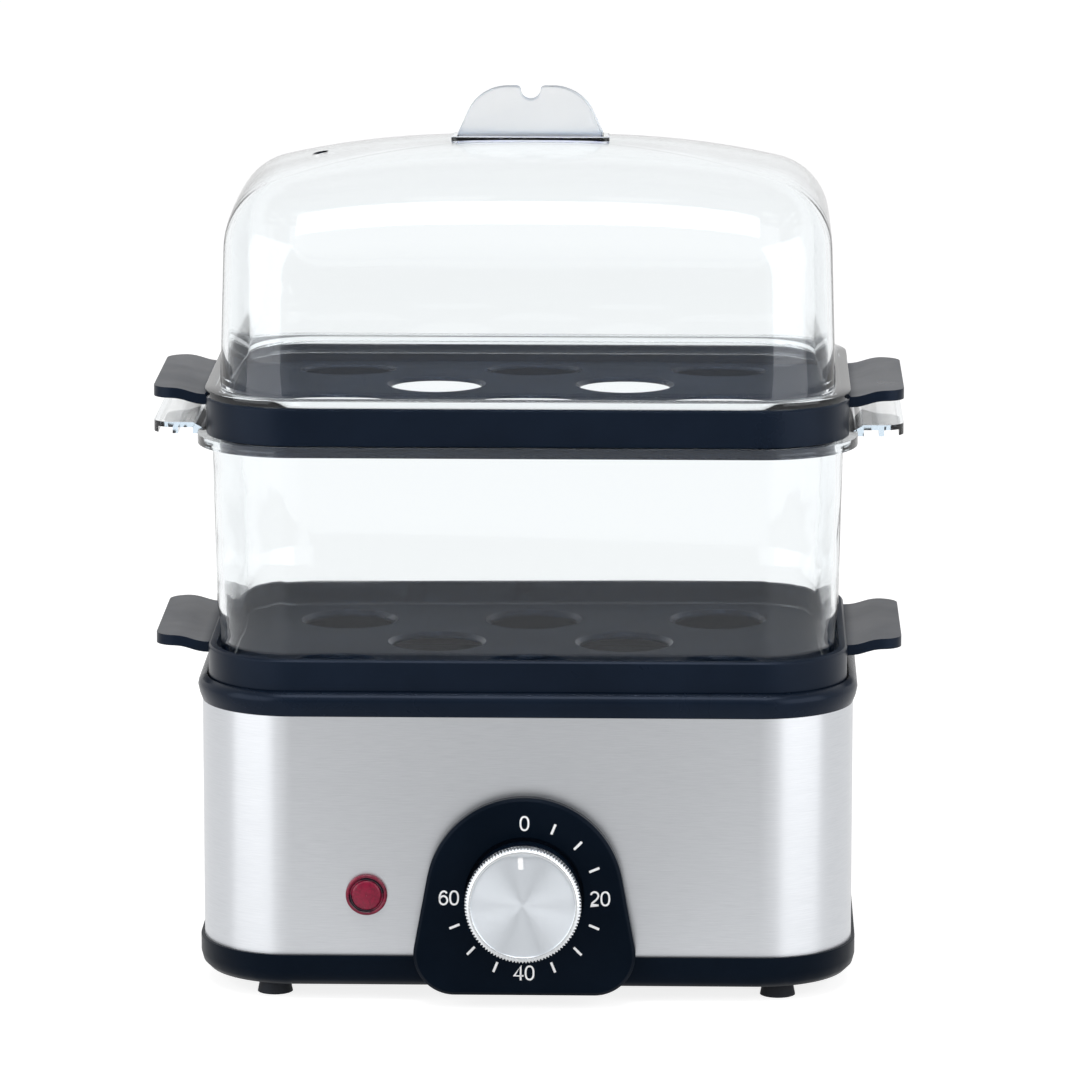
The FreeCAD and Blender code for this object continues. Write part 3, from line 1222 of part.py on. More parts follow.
def make_lid():
    """Clear lid: lip, flange, drafted wall, rounded shoulder, domed crown, hollow grip fin, vent."""
    body = new_body("Lid")
    lean = tangent(lid_draft)
    slope = tangent(crown_slope)
    upright_wall = lid_wall / cosine(crown_slope)
    crown_foot = lid_height - crown_rise
    shoulder_level = ((crown_foot - (crown_inset - lid_foot_inset + lid_flange * lean) * slope)
                      / (as_size(1) - lean * slope))
    shoulder_inset = lid_foot_inset + (shoulder_level - lid_flange) * lean
    inner_inset = shoulder_inset + lid_wall
    inner_level = crown_foot - upright_wall - (crown_inset - inner_inset) * slope
    foot_inner = lid_foot_inset + lid_wall - lid_flange * lean
    lip_outer = tray_wall + nest_gap
    sweep_round_rim(body, "Shell", [
        (-lip_outer, -lid_lip), (-lip_outer, ZERO), (-lip_outer, lid_flange),
        (-lid_foot_inset, lid_flange), (-shoulder_inset, shoulder_level),
        (-crown_inset, crown_foot), (-crown_inset, crown_foot - upright_wall),
        (-inner_inset, inner_level), (-foot_inner, ZERO), (-foot_inner, -lid_lip)],
        lid_softer)
    round_edges(body, "Shoulder", lid_shoulder,
                ring_edges(-shoulder_inset, shoulder_level, lid_softer))
    round_edges(body, "InnerShoulder", lid_shoulder - lid_wall,
                ring_edges(-inner_inset, inner_level, lid_softer))
    corner = rim_radius(lid_softer - crown_inset)

    def crown_rings(name, lowered):
        rings = []
        for step in range(crown_steps + 1):
            inward = step / crown_steps
            upward = 1 - (1 - inward) ** crown_swell
            rings.append(ring_section(
                body, f"{name}{step}", crown_foot + crown_rise * upward - lowered,
                crown_inset + crown_span_x * inward, crown_inset + crown_span_y * inward,
                corner * (1 - inward / 2)))
        return rings

    block = [ring_section(body, "CrownEdge", crown_foot - upright_wall, crown_inset,
                          crown_inset, corner)]
    loft(body, "PartDesign::AdditiveLoft", "Crown", block + crown_rings("Dome", ZERO))
    loft(body, "PartDesign::SubtractiveLoft", "CrownInside", crown_rings("Inside", upright_wall))
    flange = new_sketch(body, "Flange")
    rounded_rectangle(flange, rim_half_x(lid_flange_reach), rim_half_y(lid_flange_reach),
                      rim_radius(lid_flange_reach))
    rounded_rectangle(flange, rim_half_x(-lip_outer - nest_gap), rim_half_y(-lip_outer - nest_gap),
                      rim_radius(-lip_outer - nest_gap))
    pad(body, flange, lid_flange)
    make_fin(body)
    vent = new_sketch(body, "Vent", height=lid_height)
    rounded_rectangle(vent, vent_radius * 1.6, vent_radius, vent_radius * 0.9, -vent_x)
    pocket(body, vent, crown_rise + upright_wall * 2)
    return finish(body, "lid", z=lid_seat)


def make_fin(body):
    """Half-moon grip on the crown: leaning ends, notch at the top, hollow from below."""
    foot = lid_height - lid_wall / 2
    top = lid_height + fin_height
    half = fin_length / 2
    narrow = half - fin_height * tangent(fin_lean)
    eaves = top - fin_height / 16
    base = new_sketch(body, "FinBase", height=foot)
    rounded_rectangle(base, half + fin_base, fin_foot / 2 + fin_base, fin_base * 2)
    pad(body, base, lid_wall / 2 + fin_base)
    outline = new_sketch(body, "FinOutline", "XZ_Plane")
    polygon(outline, [(-half, foot), (half, foot), (narrow, eaves), (ZERO, top), (-narrow, eaves)])
    pad(body, outline, fin_foot, both=True)
    round_edges(body, "FinShoulders", fin_round,
                lambda edge: edge.BoundBox.YLength > fin_foot.value - 1
                and edge.BoundBox.XLength < 0.01
                and abs(abs(middle(edge).x) - narrow.value) < 0.01)
    notch = new_sketch(body, "Notch", "XZ_Plane")
    circle(notch, notch_radius, ZERO, top + notch_radius / 10)
    pocket(body, notch, both=True)
    for side in (-1, 1):
        waste = new_sketch(body, f"FinFace{side + 1}", "YZ_Plane")
        corners = [(fin_foot / 2, lid_height + fin_base), (fin_foot, lid_height + fin_base * 3),
                   (fin_foot, top + fin_base), (fin_top / 2, top)]
        polygon(waste, [(y * side, z) for y, z in corners][::side])
        pocket(body, waste, both=True)
    hollow = new_sketch(body, "FinHollow", "XZ_Plane")
    low = lid_height - lid_wall * 2
    ceiling = top - notch_radius - fin_wall * 1.5
    rim = fin_wall * 2
    polygon(hollow, [(rim - half, low), (half - rim, low), (narrow - rim / 2, ceiling),
                     (rim / 2 - narrow, ceiling)])
    pocket(body, hollow, fin_top - fin_wall, both=True)


lid_seat = upper_seat + lift_gap + tray_height + lift_gap

make_base_pan()
make_sleeve()
make_collar()
make_feet()
make_case_screws()
make_water_pan()
make_pan_seal()
make_pan_clips()
make_heater()
make_heater_clamp()
make_thermostat()
make_thermal_fuse()
make_bezel()
make_timer()
make_timer_screws()
make_bell()
make_shaft()
make_knob()
make_knob_cap()
make_lens()
make_bulb()
make_lamp_clip()
make_gland()
make_terminal_block()
make_egg_tray("LowerTray", "lower_egg_tray", tray_seat_lower)
make_clear_tier()
make_egg_tray("UpperTray", "upper_egg_tray", upper_seat + lift_gap)
make_lid()
doc.recompute()

# ---------------------------------------------------------------- checks and files

for item in doc.Objects:
    if {"Invalid", "Error"} & set(item.State):
        raise RuntimeError(f"{item.Label}: {item.State}")

os.makedirs("parts", exist_ok=True)
for item in finished:
    if item.Shape.isNull() or not item.Shape.isValid():
        raise RuntimeError(f"{item.Label} has no valid shape")
    item.Shape.exportStep(f"parts/{item.Label}.step")
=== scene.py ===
"""Looks of the two-tier egg boiler: materials, dial print, knob cap, lens, lid, light, camera."""
import json
import math

import bpy
from mathutils import Matrix, Vector


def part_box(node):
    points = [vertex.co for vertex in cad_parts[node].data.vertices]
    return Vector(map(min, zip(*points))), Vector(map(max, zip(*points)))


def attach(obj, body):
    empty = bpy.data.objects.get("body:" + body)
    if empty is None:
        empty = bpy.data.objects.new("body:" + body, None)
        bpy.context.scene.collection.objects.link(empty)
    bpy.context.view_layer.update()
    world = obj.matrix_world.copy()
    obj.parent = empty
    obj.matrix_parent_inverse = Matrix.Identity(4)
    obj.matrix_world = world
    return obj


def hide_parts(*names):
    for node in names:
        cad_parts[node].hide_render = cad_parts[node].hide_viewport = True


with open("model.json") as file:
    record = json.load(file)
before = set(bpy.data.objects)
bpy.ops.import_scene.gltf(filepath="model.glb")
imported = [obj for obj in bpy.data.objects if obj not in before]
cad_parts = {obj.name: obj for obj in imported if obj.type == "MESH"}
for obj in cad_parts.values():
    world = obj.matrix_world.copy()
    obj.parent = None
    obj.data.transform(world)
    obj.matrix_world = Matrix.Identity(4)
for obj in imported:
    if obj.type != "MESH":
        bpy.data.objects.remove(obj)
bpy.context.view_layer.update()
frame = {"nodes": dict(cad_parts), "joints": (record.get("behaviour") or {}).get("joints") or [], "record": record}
nodes = frame["nodes"]
MM = 0.001


def seat_of(node, axis, depth):
    """Middle of a CAD solid, but along one axis so many millimetres in from its low side."""
    low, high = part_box(node)
    place = (low + high) / 2
    place[axis] = low[axis] + depth * MM
    return place


# Dial: the timer's joint, with axes to the right, up the face and outwards
timer = next(joint for joint in frame["joints"] if joint["name"] == "timer_turn")
DIAL_TILT = math.asin(-timer["axis"][2])
DIAL = Matrix.Translation(timer["pos_m"]) @ Matrix.Rotation(math.pi / 2 - DIAL_TILT, 4, "X")

# Lamp lens: it stands proud of the steel, with its axis out of the front
LENS_PROUD = 2.3
LENS = (Matrix.Translation(seat_of("lamp_lens", 1, LENS_PROUD))
        @ Matrix.Rotation(math.pi / 2, 4, "X"))

# Lid in its own millimetres: x and y from the middle of the rim, heights from its seat.
# Insets are distances inside the rim; corners are radii in plan.
LIP_DEPTH, FLANGE_TOP = 3.0, 2.1
LID = Matrix.Translation(seat_of("lid", 2, LIP_DEPTH))
RIM_X, RIM_Y, RIM_CORNER = 93.9, 60.25, 26
WALL_INSET, WALL_CORNER, WALL_START = 4, 24, 2.7
LID_WALL, LID_DRAFT = 1.8, math.tan(math.radians(1.75))
LID_TOP, CROWN_RISE, CROWN_EDGE, CROWN_CORNER = 70.9, 6.9, 21.0, 12
CROWN_SQUARE, CROWN_POWER = 3.2, 2.5
VENT_X, VENT_HALF_X, VENT_HALF_Y = -62, 2.3, 2.6
FIN_SEAT, FIN_HALF, FIN_HEIGHT = 70.25, 22.25, 15.95
FROST_START = 72.2

# Blue-black of the mouldings, and the cool cast of every plastic's gloss
BLACK = (0.0014, 0.0044, 0.0108)
DEEP_BLACK = (0.0006, 0.0026, 0.0062)
GLOSS_TINT = (0.62, 0.74, 1.0, 1.0)

# Camera: metres and radians; the focal length in pixels of a frame this wide
CAMERA_PLACE = (0.05324, -1.91726, 0.50252)
LOOK_DOWN, LOOK_ACROSS = math.radians(11.05), math.radians(1.5)
FOCAL_PIXELS, FRAME_PIXELS, SENSOR = 6585, 1080, 36.0

# Cosine of the narrow cone straight in front, where the mirrored room is dimmest
FRONT = -0.9975


# ---------------------------------------------------------------- material building blocks

def feed(tree, value, socket):
    """Set a socket to a number, or link a pattern to it."""
    if isinstance(value, (int, float)):
        socket.default_value = value
    else:
        tree.links.new(value, socket)


class Shader:
    """A node material with helpers for procedural detail in millimetres."""

    def __init__(self, name, **values):
        self.material = bpy.data.materials.new(name)
        self.material.use_nodes = True
        self.tree = self.material.node_tree
        self.surface = self.tree.nodes["Principled BSDF"]
        self.output = self.tree.nodes["Material Output"]
        for key, value in values.items():
            self.surface.inputs[key.replace("_", " ")].default_value = value
        self.height = None

    def add(self, kind, **settings):
        """A new node with these settings."""
        node = self.tree.nodes.new(kind)
        for key, value in settings.items():
            setattr(node, key, value)
        return node

    def link(self, source, target):
        self.tree.links.new(source, target)

    def place(self, stretch=(1, 1, 1)):
        """Object coordinates in millimetres, stretched."""
        coordinates = self.add("ShaderNodeTexCoord")
        mapping = self.add("ShaderNodeMapping")
        mapping.inputs["Scale"].default_value = [1000 * s for s in stretch]
        self.link(coordinates.outputs["Object"], mapping.inputs["Vector"])
        return mapping.outputs["Vector"]

    def noise(self, scale, stretch=(1, 1, 1), detail=4.0, rough=0.55, warp=0.0):
        """Uneven pattern; a higher scale is finer."""
        node = self.add("ShaderNodeTexNoise")
        node.inputs["Scale"].default_value = scale
        node.inputs["Detail"].default_value = detail
        node.inputs["Roughness"].default_value = rough
        node.inputs["Distortion"].default_value = warp
        self.link(self.place(stretch), node.inputs["Vector"])
        return node.outputs["Fac"]

    def rings(self, scale, warp):
        """Circles round the piece's own Z axis."""
        node = self.add("ShaderNodeTexWave", wave_type="RINGS", rings_direction="Z")
        node.inputs["Scale"].default_value = scale
        node.inputs["Distortion"].default_value = warp
        self.link(self.place(), node.inputs["Vector"])
        return node.outputs["Fac"]

    def calculate(self, operation, *terms, clamp=False):
        """Arithmetic on patterns and numbers."""
        node = self.add("ShaderNodeMath", operation=operation, use_clamp=clamp)
        for term, socket in zip(terms, node.inputs):
            feed(self.tree, term, socket)
        return node.outputs[0]

    def vector(self, operation, source, other=(0, 0, 0)):
        """A vector's direction, its length, or how far it reaches along another."""
        node = self.add("ShaderNodeVectorMath", operation=operation)
        self.link(source, node.inputs[0])
        node.inputs[1].default_value = other
        return node.outputs["Vector" if operation == "NORMALIZE" else "Value"]

    def along(self, source, axis):
        """One coordinate of a vector."""
        node = self.add("ShaderNodeSeparateXYZ")
        self.link(source, node.inputs[0])
        return node.outputs[axis]

    def spread(self, source, low, high, near=0.3, far=0.7, shape="LINEAR"):
        """Map a pattern from near..far to low..high."""
        node = self.add("ShaderNodeMapRange", interpolation_type=shape)
        node.inputs["From Min"].default_value = near
        node.inputs["From Max"].default_value = far
        node.inputs["To Min"].default_value = low
        node.inputs["To Max"].default_value = high
        self.link(source, node.inputs["Value"])
        return node.outputs["Result"]

    def drive(self, socket, source):
        """Link a pattern to a socket of the surface."""
        self.link(source, self.surface.inputs[socket])

    def tint(self, source, first, second, near=0.3, far=0.7):
        """Base colour that wanders between two colours."""
        node = self.add("ShaderNodeMix", data_type="RGBA")
        for item in node.inputs:
            if item.type == "RGBA":
                item.default_value = (*(first if item.name == "A" else second), 1)
        self.link(self.spread(source, 0, 1, near, far), node.inputs["Factor"])
        self.drive("Base Color", next(o for o in node.outputs if o.type == "RGBA"))

    def relief(self, source, strength, depth):
        """Add a bump layer of that depth in millimetres."""
        node = self.add("ShaderNodeBump")
        node.inputs["Strength"].default_value = strength
        node.inputs["Distance"].default_value = depth * MM
        self.link(source, node.inputs["Height"])
        if self.height is not None:
            self.link(self.height, node.inputs["Normal"])
        self.height = node.outputs["Normal"]
        self.drive("Normal", self.height)

    def lathe_tangent(self):
        """Marks run round the piece's own Z axis."""
        node = self.add("ShaderNodeTangent", direction_type="RADIAL", axis="Z")
        self.drive("Tangent", node.outputs["Tangent"])

    def soft_edges(self, radius):
        """Edges catch light as if rounded by that radius in millimetres."""
        node = self.add("ShaderNodeBevel", samples=4)
        node.inputs["Radius"].default_value = radius * MM
        self.height = node.outputs["Normal"]
        self.drive("Normal", self.height)


def paler(colour):
    """The lighter end of a plastic's colour drift."""
    return [c * 1.35 + 0.0008 for c in colour]


def plastic(name, colour, rough, grain, depth, level=0.5, edge=0.35):
    """Moulded plastic: colour drift, gloss that wanders, fine moulded grain."""
    s = Shader(name, Specular_IOR_Level=level, Specular_Tint=GLOSS_TINT)
    s.soft_edges(edge)
    s.tint(s.noise(0.05, detail=6), colour, paler(colour))
    s.drive("Roughness", s.spread(s.noise(0.035, detail=5, warp=0.4), rough * 0.85, rough * 1.2))
    s.relief(s.noise(grain, detail=3), 0.25, depth)
    return s.material


def tray_plastic():
    """Black tray: fine matt grain on the egg shelf, polished walls and handles."""
    shelf_end, handle_start = 89 * MM, 97 * MM
    s = Shader("tray_black", Specular_IOR_Level=0.2, Specular_Tint=GLOSS_TINT)
    s.soft_edges(0.4)
    s.tint(s.noise(0.05, detail=6), BLACK, paler(BLACK))
    polish = s.spread(s.noise(0.035, detail=5, warp=0.4), 0.26, 0.36)
    sideways = s.along(s.add("ShaderNodeTexCoord").outputs["Object"], "X")
    shelf = s.spread(s.calculate("ABSOLUTE", sideways), 0.5, 0, shelf_end, handle_start, "SMOOTHSTEP")
    facing = s.along(s.add("ShaderNodeNewGeometry").outputs["Normal"], "Z")
    upward = s.spread(facing, 0, 1, 0.7, 0.95, "SMOOTHSTEP")
    s.drive("Roughness", s.calculate("MULTIPLY_ADD", shelf, upward, polish))
    s.relief(s.noise(1.4, detail=3), 0.25, 0.006)
    return s.material


def metal(name, colour, rough, scale, stretch=(1, 1, 1)):
    """Metal with drifting colour, uneven polish and fine marks along a direction."""
    s = Shader(name, Metallic=1.0)
    marks = s.noise(scale, stretch, detail=6, rough=0.65)
    s.tint(marks, [c * 0.93 for c in colour], colour)
    s.drive("Roughness", s.spread(marks, rough * 0.85, rough * 1.25))
    s.relief(marks, 0.2, 0.01)
    return s.material


def brushed_steel():
    """Stainless sheet brushed sideways, all round the sleeve."""
    s = Shader("brushed_stainless", Metallic=1.0, Anisotropic=0.8, Anisotropic_Rotation=0.25)
    fine = s.noise(1.0, (0.16, 0.16, 5.5), detail=6, rough=0.7)
    broad = s.noise(1.0, (0.03, 0.03, 0.9), detail=5, rough=0.6)
    s.tint(fine, (0.600, 0.618, 0.646), (0.685, 0.703, 0.731))
    s.drive("Roughness", s.spread(broad, 0.29, 0.33))
    s.relief(fine, 0.16, 0.014)
    s.lathe_tangent()
    return s.material


def spun_face():
    """Aluminium turned on a lathe: fine circles that fan the light out in two cones."""
    s = Shader("spun_aluminium", Metallic=1.0, Anisotropic=0.92, Anisotropic_Rotation=0.25)
    grooves = s.rings(1.15, warp=1.2)
    fine = s.rings(3.7, warp=2.5)
    s.tint(fine, (0.70, 0.74, 0.79), (0.80, 0.84, 0.88), 0, 1)
    s.drive("Roughness", s.spread(grooves, 0.30, 0.38, 0, 1))
    s.relief(grooves, 0.5, 0.03)
    s.lathe_tangent()
    return s.material


def knurled_rim():
    """Bright aluminium of the knob's knurled rim."""
    s = Shader("knurled_aluminium", Metallic=1.0)
    marks = s.noise(0.9, detail=6, rough=0.65)
    s.tint(marks, (0.80, 0.83, 0.86), (0.90, 0.92, 0.94))
    s.drive("Roughness", s.spread(marks, 0.2, 0.3))
    s.relief(marks, 0.2, 0.01)
    return s.material


def red_lens():
    """Red lens: pebbled middle, painted shade in the valley that is strongest in two opposite arcs, glossy rim."""
    s = Shader("red_lens", Specular_IOR_Level=0.4)
    flat = s.place((1, 1, 0))
    radius = s.vector("LENGTH", flat)
    pebbles = s.noise(0.9, detail=2, warp=0.6)
    # Painted shade: the valley between dome and rim is coloured darker, as if shaded in its recess, and less so on
    # the rim.
    valley = s.spread(radius, 0, 1, 4.0, 4.7, "SMOOTHSTEP")
    rim = s.spread(radius, 1, 0.25, 5.0, 5.5, "SMOOTHSTEP")
    valley_shade = s.calculate("MULTIPLY", valley, rim)
    # Painted shade is kept to two opposite arcs of the valley, as if light came from one side.
    lean = s.vector("DOT_PRODUCT", s.vector("NORMALIZE", flat), (0.55, 0.835, 0))
    ends = s.spread(s.calculate("ABSOLUTE", lean), 0.35, 1, 0.35, 0.75)
    arc_shade = s.calculate("MULTIPLY", valley_shade, ends)
    # Colour mask: the lens's own darker pebble dots, plus the painted shade of the valley.
    pebbles_and_shade = s.calculate("ADD", s.spread(pebbles, 0.35, 0, 0.3, 0.55), arc_shade, clamp=True)
    s.tint(pebbles_and_shade, (0.21, 0.002, 0.028), (0.008, 0.001, 0.008), 0, 1)
    s.drive("Roughness", s.spread(pebbles, 0.1, 0.24))
    s.relief(pebbles, 0.5, 0.12)
    return s.material


def see_through(name, colour, rough, density=0, tone=(1, 1, 1)):
    """Clear plastic that lets lamps through, with a faint body colour and haze marks."""
    s = Shader(name, Transmission_Weight=1.0, IOR=1.49, Base_Color=(*colour, 1),
               Specular_Tint=(0.82, 0.84, 0.88, 1))
    s.drive("Roughness", s.spread(s.noise(0.03, detail=6), rough * 0.4, rough))
    s.relief(s.noise(0.09, detail=2), 0.03, 0.05)
    lets = s.add("ShaderNodeBsdfTransparent")
    lets.inputs["Color"].default_value = (*[c * 0.97 for c in colour], 1)
    path = s.add("ShaderNodeLightPath")
    mix = s.add("ShaderNodeMixShader")
    s.link(path.outputs["Is Shadow Ray"], mix.inputs[0])
    s.link(s.surface.outputs[0], mix.inputs[1])
    s.link(lets.outputs[0], mix.inputs[2])
    s.link(mix.outputs[0], s.output.inputs["Surface"])
    if density:
        body = s.add("ShaderNodeVolumeAbsorption")
        body.inputs["Color"].default_value = (*tone, 1)
        body.inputs["Density"].default_value = density
        s.link(body.outputs[0], s.output.inputs["Volume"])
    return s.material


finishes = {
    "black_moulding": plastic("black_moulding", DEEP_BLACK, 0.34, 2.2, 0.012, level=0.08, edge=0.5),
    "black_gloss": plastic("black_gloss", BLACK, 0.26, 1.2, 0.005, level=0.2, edge=0.4),
    "tray_black": tray_plastic(),
    "foot_rubber": plastic("foot_rubber", (0.012, 0.012, 0.012), 0.65, 3.0, 0.05, level=0.3),
    "gland_rubber": plastic("gland_rubber", (0.012, 0.012, 0.012), 0.6, 2.5, 0.04, level=0.3),
    "seal_silicone": plastic("seal_silicone", (0.62, 0.60, 0.56), 0.5, 1.5, 0.02),
    "block_nylon": plastic("block_nylon", (0.72, 0.70, 0.64), 0.45, 1.5, 0.02),
    "fuse_sleeve": plastic("fuse_sleeve", (0.7, 0.66, 0.55), 0.8, 4.0, 0.1),
    "pan_coating": plastic("pan_coating", (0.030, 0.031, 0.034), 0.4, 3.0, 0.03),
    "zinc_steel": metal("zinc_steel", (0.62, 0.63, 0.66), 0.3, 0.4),
    "heater_sheath": metal("heater_sheath", (0.42, 0.41, 0.40), 0.45, 0.6),
    "thermostat_body": metal("thermostat_body", (0.5, 0.5, 0.5), 0.4, 0.8),
    "timer_case": metal("timer_case", (0.4, 0.4, 0.39), 0.42, 0.5),
    "bell_steel": metal("bell_steel", (0.62, 0.60, 0.57), 0.18, 0.7),
    "shaft_steel": metal("shaft_steel", (0.56, 0.56, 0.57), 0.25, 2.0, (0.3, 3, 0.3)),
    "brushed_stainless": brushed_steel(),
    "spun_aluminium": spun_face(),
    "red_lens": red_lens(),
    "bulb_glass": see_through("bulb_glass", (0.95, 0.93, 0.9), 0.05),
    "clear_plastic": see_through("clear_plastic", (0.982, 0.996, 1.0), 0.05, 25, (0.80, 0.90, 0.98)),
}


# ---------------------------------------------------------------- carried-over solids

def soften(item, angle=32):
    """Smooth shading across the facets of curved faces, crisp at real edges."""
    item.data.shade_smooth()
    weld = item.modifiers.new("JoinFaces", "WELD")
    weld.merge_threshold = 0.005 * MM
    split = item.modifiers.new("CrispEdges", "EDGE_SPLIT")
    split.split_angle = math.radians(angle)
    even = item.modifiers.new("EvenNormals", "WEIGHTED_NORMAL")
    even.keep_sharp = True
    even.weight = 100


for part in frame["record"]["subparts"]:
    item = nodes[part["node"]]
    item.data.materials.clear()
    item.data.materials.append(finishes[part["material_slot"]])
    soften(item)


# ---------------------------------------------------------------- new pieces

def plain_solid(name, vertices, faces, place=Matrix.Identity(4)):
    """A mesh in millimetres, in its own frame, not yet part of a body."""
    mesh = bpy.data.meshes.new(name)
    mesh.from_pydata([Vector(v) * MM for v in vertices], [], faces)
    mesh.validate()
    piece = bpy.data.objects.new(name, mesh)
    bpy.context.scene.collection.objects.link(piece)
    piece.matrix_world = place
    return piece


def new_piece(name, vertices, faces, body, finish, place=Matrix.Identity(4), smooth=True):
    """A mesh in millimetres, in its own frame, that rides on a body."""
    piece = plain_solid(name, vertices, faces, place)
    piece.data.materials.append(finish)
    if smooth:
        piece.data.shade_smooth()
    bpy.context.view_layer.update()
    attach(piece, body)
    return piece


def combine(item, others, operation):
    """Join the other solids to this one, or cut them out of it."""
    for other in others:
        step = item.modifiers.new(other.name, "BOOLEAN")
        step.operation = operation
        step.solver = "EXACT"
        step.object = other
    bpy.context.view_layer.update()
    seen = item.evaluated_get(bpy.context.evaluated_depsgraph_get())
    mesh = bpy.data.meshes.new_from_object(seen)
    item.modifiers.clear()
    item.data = mesh
    for other in others:
        bpy.data.objects.remove(other)


def skin(rows, closed=False):
    """Faces between rows of equally many points; closed joins the last row to the first."""
    count = len(rows[0])
    vertices = [point for row in rows for point in row]
    faces = []
    for i in range(len(rows) if closed else len(rows) - 1):
        a, b = i * count, (i + 1) % len(rows) * count
        faces += [(a + k, a + (k + 1) % count, b + (k + 1) % count, b + k) for k in range(count)]
    return vertices, faces


def joined(parts):
    """One mesh from several."""
    vertices, faces = [], []
    for more, shapes in parts:
        faces += [[len(vertices) + i for i in shape] for shape in shapes]
        vertices += more
    return vertices, faces


def turned(profile, count, ripple=None):
    """Rings of points (radius, height) turned about Z; ripple(i, angle) moves a ring's radius."""
    rows = []
    for i, (radius, height) in enumerate(profile):
        row = []
        for k in range(count):
            angle = 2 * math.pi * k / count
            reach = radius + (ripple(i, angle) if ripple else 0)
            row.append((reach * math.cos(angle), reach * math.sin(angle), height))
        rows.append(row)
    return skin(rows)


def make_knob_cap():
    """Knurled aluminium cap: fine ridges round the rim, recessed spun face, flat at the top."""
    ridges, steps = 108, 8
    rim, face, top = 16.9, 15.1, 16.5
    disc, disc_level, dish, hole = 14.2, 15.99, 0.05, 0.02
    profile = [(15.35, 10.5), (16.4, 10.5), (16.62, 10.6), (16.72, 10.75), (rim, 10.95), (rim, 13.4),
               (rim, 15.45), (16.78, 15.62), (16.5, 15.95), (16.15, 16.28), (15.95, 16.42), (15.7, top),
               (15.3, top), (15.16, 16.46), (face, 16.36), (face, 16.06), (15.02, 16.0),
               (disc, disc_level)]
    profile += [(disc * (1 - j / 24), disc_level - dish * j / 24) for j in range(1, 24)]
    profile.append((hole, disc_level - dish))
    ridge_depth = {3: 0.1, 4: 0.45, 5: 0.45, 6: 0.45, 7: 0.4, 8: 0.2}

    def ripple(i, angle):
        return -ridge_depth.get(i, 0) * (0.5 - 0.5 * math.cos(ridges * angle))

    chord, wall = 14.4, face + 0.05
    half = math.acos(chord / wall)
    arc = [math.pi / 2 - half + 2 * half * k / 16 for k in range(17)]
    vertices, faces = skin([[(wall * math.cos(a), wall * math.sin(a), level) for a in arc]
                            for level in (15.9, top - 0.02)])
    flat = vertices, [list(range(len(arc), len(vertices)))] + faces
    cap = new_piece("knob_cap_knurled", *joined([turned(profile, ridges * steps, ripple), flat]),
                    "knob", finishes["spun_aluminium"], DIAL)
    cap.data.materials.append(knurled_rim())
    for side in cap.data.polygons:
        on_rim = side.center.xy.length > 15.2 * MM or side.center.z < 15.8 * MM
        side.material_index = int(on_rim)
    cap.data.set_sharp_from_angle(angle=math.radians(35))
    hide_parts("knob_cap")


def white_ink():
    """White print, slightly uneven."""
    s = Shader("dial_ink", Specular_IOR_Level=0.3)
    s.tint(s.noise(0.8, detail=5), (0.78, 0.79, 0.80), (0.9, 0.9, 0.91))
    s.drive("Roughness", s.spread(s.noise(2.0), 0.45, 0.65))
    s.relief(s.noise(5.0, detail=2), 0.2, 0.01)
    return s.material


def flat_prism(points, low, high):
    """A flat outline between two levels."""
    count = len(points)
    vertices = [(x, y, low) for x, y in points] + [(x, y, high) for x, y in points]
    faces = [list(range(count))[::-1], [count + k for k in range(count)]]
    faces += [(k, (k + 1) % count, count + (k + 1) % count, count + k) for k in range(count)]
    return vertices, faces


def bar(half_width, half_length, radius, angle, corner=0.12):
    """A small rounded bar whose length points along a radius of the dial."""
    points = []
    for sx, sy, start in ((1, 1, 0), (-1, 1, 90), (-1, -1, 180), (1, -1, 270)):
        for k in range(4):
            a = math.radians(start + 30 * k)
            points.append((sx * (half_width - corner) + corner * math.cos(a),
                           radius + sy * (half_length - corner) + corner * math.sin(a)))
    c, s = math.cos(-angle), math.sin(-angle)
    return [(c * x - s * y, s * x + c * y) for x, y in points]


def ribbon(path, width, low, high, closed=False):
    """A line of constant width drawn along a path."""
    count = len(path)
    vertices = []
    for k, (x, y) in enumerate(path):
        before = path[k - 1] if closed or k else path[k]
        after = path[(k + 1) % count] if closed or k < count - 1 else path[k]
        dx, dy = after[0] - before[0], after[1] - before[1]
        length = math.hypot(dx, dy)
        mitre = 1.0
        if before != (x, y) and after != (x, y):
            ax, ay = x - before[0], y - before[1]
            cosine = (ax * dx + ay * dy) / (math.hypot(ax, ay) * length)
            mitre = 1 / max(0.5, cosine)
        nx, ny = -dy / length * width / 2 * mitre, dx / length * width / 2 * mitre
        vertices += [(x + nx, y + ny, low), (x + nx, y + ny, high),
                     (x - nx, y - ny, high), (x - nx, y - ny, low)]
    faces = []
    for k in range(count if closed else count - 1):
        a, b = 4 * k, 4 * ((k + 1) % count)
        faces += [(a + i, a + (i + 1) % 4, b + (i + 1) % 4, b + i) for i in range(4)]
    if not closed:
        faces += [(3, 2, 1, 0), tuple(4 * (count - 1) + i for i in range(4))]
    return vertices, faces


def oval(x, y, half_x, half_y, first=0, last=360, steps=32, square=2.0):
    """Points of an oval arc between two angles; square > 2 makes it fuller."""
    points = []
    for k in range(steps + (0 if last - first == 360 else 1)):
        a = math.radians(first + (last - first) * k / steps)
        c, s = math.cos(a), math.sin(a)
        points.append((x + half_x * math.copysign(abs(c) ** (2 / square), c),
                       y + half_y * math.copysign(abs(s) ** (2 / square), s)))
    return points


